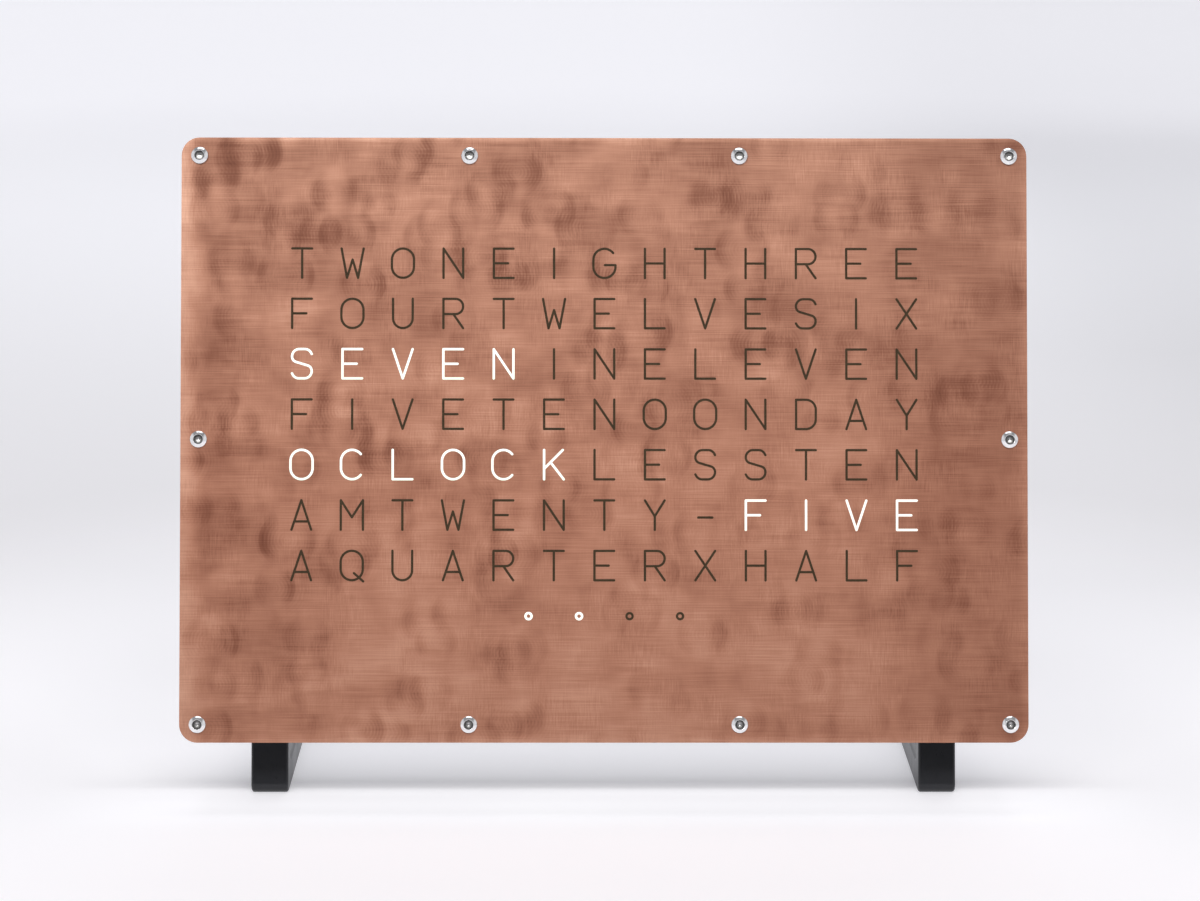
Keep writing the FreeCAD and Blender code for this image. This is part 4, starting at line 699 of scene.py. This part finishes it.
def screw_rows(diameter, length, pitch, head, height, flats):
    """A button-head screw in millimetres, from its tip to the bottom of its socket. The
    thread's radius falls by THREAD_DEPTH * pitch times a triangle wave of (out / pitch + angle
    / full turn), and has plain rings at the tip and under the head. The head is a low ball,
    its mouth chamfered, with hexagon walls and a drilled cone below."""
    angle = np.linspace(0.0, 2 * math.pi, ROUND_SIDES, endpoint=False)
    radius, wide = diameter / 2, head / 2
    seat = radius - SEAT_DEPTH * pitch
    rows = [(-length, radius - TIP_DEPTH * pitch, 0)]
    for out in np.arange(-length + pitch / 2, -pitch / 2, pitch / 4):
        wave = np.abs(2 * ((out / pitch + angle / (2 * math.pi)) % 1.0) - 1)
        rows.append((out, radius - THREAD_DEPTH * pitch * wave, 0))
    rim, rounding = RIM_SHARE * height, ROUNDING_SHARE * height
    rows += [(-pitch / 4, seat, 0), (0.0, seat, 0), (0.0, wide - rounding, 0),
             (0.3 * rounding, wide - 0.3 * rounding, 0), (rounding, wide, 0)]
    # The ball's middle is where circles through the rim and through the mouth's edge agree.
    mouth = MOUTH_SHARE * flats
    narrow = mouth + MOUTH_RING
    middle = (height ** 2 - rim ** 2 - wide ** 2 + narrow ** 2) / (2 * (height - rim))
    ball = math.hypot(wide, rim - middle)
    slopes = np.linspace(math.asin(wide / ball), math.asin(narrow / ball), BALL_ROWS)
    rows += [(middle + ball * math.cos(slope), ball * math.sin(slope), 0) for slope in slopes]
    lip = height - 2 * LIP_DEPTH
    rows += [(height - LIP_DEPTH, mouth + MOUTH_LIP, 0), (lip, mouth, 1)]
    walls = hexagon_reach(angle, flats)
    chamfer = (mouth - flats / 2) * 0.8
    depth = SOCKET_SHARE * height
    floor = height - depth
    rows += [(lip - chamfer, np.minimum(walls, mouth), 1),
             (height - 0.55 * depth, walls, 1), (floor, walls, 1)]
    rows += [(floor - 0.02, DRILL_SHARE * flats / 2, 0.9), (floor - 0.10, 0.4, 0.5),
             (floor - 0.20, 0.03, 0.5)]
    return rows


def put_piece(name, mesh, node, slot):
    """Adds a mesh that stands for a node of the frame and takes the same finish."""
    mesh.materials.append(FINISHES[slot])
    piece = bpy.data.objects.new(name, mesh)
    bpy.context.scene.collection.objects.link(piece)
    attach(piece, BODY)
    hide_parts(node)


def make_screws():
    """The screws of the face, the rear cover and the feet, each turned to its own angle."""
    sides = [(across, up) for across in (-SCREW_ACROSS, SCREW_ACROSS) for up in SCREW_UPS]
    between = [(across, up) for across in (-SCREW_ACROSS / 3, SCREW_ACROSS / 3)
               for up in (SCREW_INSET, SCREW_TOP)]
    middle = [(0.0, SCREW_INSET), (0.0, SCREW_TOP)]
    feet = [(across, up) for across in (-FOOT_ACROSS, FOOT_ACROSS) for up in FOOT_SCREW_UPS]
    small = screw_rows(diameter=3.0, length=8.0, pitch=0.5, head=5.5, height=1.63, flats=2.5)
    large = screw_rows(diameter=4.0, length=14.0, pitch=0.7, head=7.6, height=2.18, flats=2.5)
    for name, node, rows, places, back, outward, twist in (
            ("face_button_screws", "face_screws", small, sides + between, 0.0, -1, 1.9),
            ("cover_button_screws", "cover_screws", small, sides + middle, CASE_DEPTH, 1, 2.3),
            ("foot_button_screws", "foot_screws", large, feet, LIMB_BACK, 1, 1.3)):
        put_piece(name, rings_mesh(name, rows, places, back, outward, twist), node,
                  "stainless_steel")


make_screws()


# ---- table, backdrop and light -------------------------------------------------------
SWEEP_HALF_WIDTH = 5.0
SWEEP_FRONT = -4.0
BEND_START = 2.2
BEND_RADIUS = 1.2
SWEEP_TOP = 4.0
PAPER_NEAR = (0.72, 0.705, 0.72)
PAPER_FAR = (0.74, 0.74, 0.77)
PAPER_FIBRE = (0.8, 0.8, 0.8)
BACKGROUND_GLOW = (0.95, 0.95, 1.0)
# The glow by distance from the clock: a pool of light round it, and pale again far back.
POOL = (0.24, 0.50, 0.345, 0.19)
FAR_BACK = (0.50, 2.4, 0.0, 0.43)
# A little more light behind the clock, which fades again further back.
BEHIND = (0.0, 0.09, 0.0, 0.03)
BEHIND_FADE = (0.9, 1.9, 1.0, 0.0)
# It is dimmer to the right, though not close to the clock, and less so far away.
RIGHT_DIMMER = (0.10, 0.45, 0.0, 0.17)
DIMMER_FROM = (0.3, 0.9)
DIMMER_FADE = (1.5, 2.6, 1.0, 0.4)
# Before the clock the front lamp lights the floor by itself, and beyond the lamp less so.
BEFORE = (-0.90, -0.25, 0.45, 1.0)
BEYOND_LAMP = (-1.38, -1.00, 0.35, 0.0)
# Change of the floor's light along the middle line: (place in metres, amount). It is dimmer
# in the slot under the clock and brighter just before and behind it.
FLOOR_LIGHT = (
    (-0.130, 0.0), (-0.094, 0.035), (-0.074, 0.06), (-0.058, 0.14), (-0.047, 0.19),
    (-0.036, 0.15), (-0.0305, 0.09), (-0.0275, -0.06), (-0.022, -0.07), (-0.014, 0.03),
    (-0.002, 0.10), (0.014, 0.14), (0.040, 0.10), (0.120, 0.0))
# That change holds across the clock's width and fades past its sides.
UNDER_CLOCK = (0.115, 0.20, 1.0, 0.0)
# The room's own light, by the height of a ray's direction, its side walls' light, by how far
# the direction points aside, and the level at which the camera sees the room.
ROOM_COLOUR = (0.97, 0.97, 1.0)
ROOM_LEVELS = (0.10, 0.65, 0.13, 0.30)
WALL_LEVELS = (0.55, 0.85, 0.0, 0.78)
ROOM_SEEN = 0.88


def seen_only(w):
    """One for rays that show the background, straight or in gloss and glass, else zero."""
    rays = w.tree.nodes.new("ShaderNodeLightPath").outputs
    mirrored = w.math("MAXIMUM", rays["Is Glossy Ray"], rays["Is Transmission Ray"])
    return w.math("MAXIMUM", rays["Is Camera Ray"], mirrored)


def sweep_finish():
    """Pale paper with a pool of light round the clock, dimmer further out and to the right
    and pale again far back, with a slot of shade under the clock."""
    w = Finish("paper_sweep", Roughness=0.9)
    grain = w.group(GRAIN, {"Vector": w.place, "Size": 0.002})
    distance = w.vector("LENGTH", w.place)
    far = w.span(distance, 0.1, 1.6, smooth=True)
    paper = w.mix(far, PAPER_NEAR, PAPER_FAR)
    fibres = w.math("MULTIPLY", grain["Unevenness"], 0.02)
    w.set("Base Color", w.mix(fibres, paper, PAPER_FIBRE))
    w.set("Emission Color", BACKGROUND_GLOW)
    glow = w.math("ADD", w.span(distance, *POOL, smooth=True), w.span(distance, *FAR_BACK))
    across, along, _ = w.parts(w.place)
    behind = w.math("MULTIPLY", w.span(along, *BEHIND, smooth=True),
                    w.span(along, *BEHIND_FADE, smooth=True))
    glow = w.math("ADD", glow, behind)
    right = w.span(across, *RIGHT_DIMMER, smooth=True)
    reach = w.math("MULTIPLY", w.span(distance, *DIMMER_FROM), w.span(distance, *DIMMER_FADE))
    glow = w.math("SUBTRACT", glow, w.math("MULTIPLY", right, reach))
    low, high = FLOOR_LIGHT[0][0], FLOOR_LIGHT[-1][0]
    stops = [((place - low) / (high - low), (0.5 + amount,) * 3) for place, amount in FLOOR_LIGHT]
    local = w.math("SUBTRACT", w.tones(w.span(along, low, high), stops), 0.5)
    under = w.span(w.math("ABSOLUTE", across), *UNDER_CLOCK, smooth=True)
    glow = w.math("ADD", glow, w.math("MULTIPLY", local, under))
    glow = w.math("MULTIPLY", glow, w.span(along, *BEFORE, smooth=True))
    glow = w.math("ADD", glow, w.span(along, *BEYOND_LAMP, smooth=True))
    w.set("Emission Strength", w.math("MULTIPLY", glow, seen_only(w)))
    return w.material


def make_sweep():
    """A floor that curves up into a backdrop: flat, then a quarter circle, then upright."""
    turns = np.linspace(0.0, math.pi / 2, 33)
    back = np.concatenate(([SWEEP_FRONT, 0.0], BEND_START + BEND_RADIUS * np.sin(turns),
                           [BEND_START + BEND_RADIUS]))
    up = np.concatenate(([0.0, 0.0], BEND_RADIUS * (1 - np.cos(turns)), [SWEEP_TOP]))
    count = len(back)
    points = np.zeros((2, count, 3))
    points[0, :, 0] = -SWEEP_HALF_WIDTH
    points[1, :, 0] = SWEEP_HALF_WIDTH
    points[:, :, 1] = back
    points[:, :, 2] = up
    low = np.arange(count - 1)
    faces = np.stack([low, low + count, low + count + 1, low + 1], axis=1)
    mesh = bpy.data.meshes.new("sweep")
    mesh.from_pydata(points.reshape(-1, 3).tolist(), [], faces.tolist())
    mesh.shade_smooth()
    mesh.materials.append(sweep_finish())
    sweep = bpy.data.objects.new("sweep", mesh)
    bpy.context.scene.collection.objects.link(sweep)


def soft_box(name, place, aim, width, height, power, colour=(1.0, 1.0, 1.0)):
    """An oblong soft lamp at a place, turned to face another."""
    data = bpy.data.lights.new(name, "AREA")
    data.shape = "RECTANGLE"
    data.size, data.size_y = width, height
    data.energy = power
    data.color = colour
    lamp = bpy.data.objects.new(name, data)
    lamp.location = place
    direction = Vector(aim) - Vector(place)
    lamp.rotation_euler = direction.to_track_quat("-Z", "Y").to_euler()
    bpy.context.scene.collection.objects.link(lamp)


def light_room():
    """A room that is paler overhead and at its sides than before the eye, with three soft
    boxes."""
    world = bpy.data.worlds.new("room")
    world.use_nodes = True
    w = Wiring(world.node_tree)
    sky = world.node_tree.nodes["Background"]
    w.put(sky.inputs["Color"], ROOM_COLOUR)
    direction = w.tree.nodes.new("ShaderNodeTexCoord").outputs["Generated"]
    aside, _, height = w.parts(direction)
    level = w.span(height, *ROOM_LEVELS, smooth=True)
    walls = w.span(w.math("ABSOLUTE", aside), *WALL_LEVELS, smooth=True)
    level = w.math("MAXIMUM", level, walls)
    shown = w.tree.nodes.new("ShaderNodeLightPath").outputs["Is Camera Ray"]
    extra = w.math("MULTIPLY", w.math("SUBTRACT", ROOM_SEEN, level), shown)
    w.put(sky.inputs["Strength"], w.math("ADD", level, extra))
    bpy.context.scene.world = world
    soft_box("front_box", place=(-0.12, -1.20, 1.02), aim=(0.0, 0.0, 0.1), width=1.5,
             height=0.30, power=13.5, colour=(1.0, 0.985, 0.965))
    soft_box("top_box", place=(0.0, 0.22, 1.6), aim=(0.0, 0.0, 0.0), width=1.2,
             height=0.55, power=4.5, colour=(0.92, 0.955, 1.0))
    soft_box("back_box", place=(0.3, 1.45, 1.0), aim=(0.0, 0.0, 0.1), width=1.6,
             height=1.0, power=4.5)


make_sweep()
light_room()
bpy.context.scene.view_settings.view_transform = "Standard"
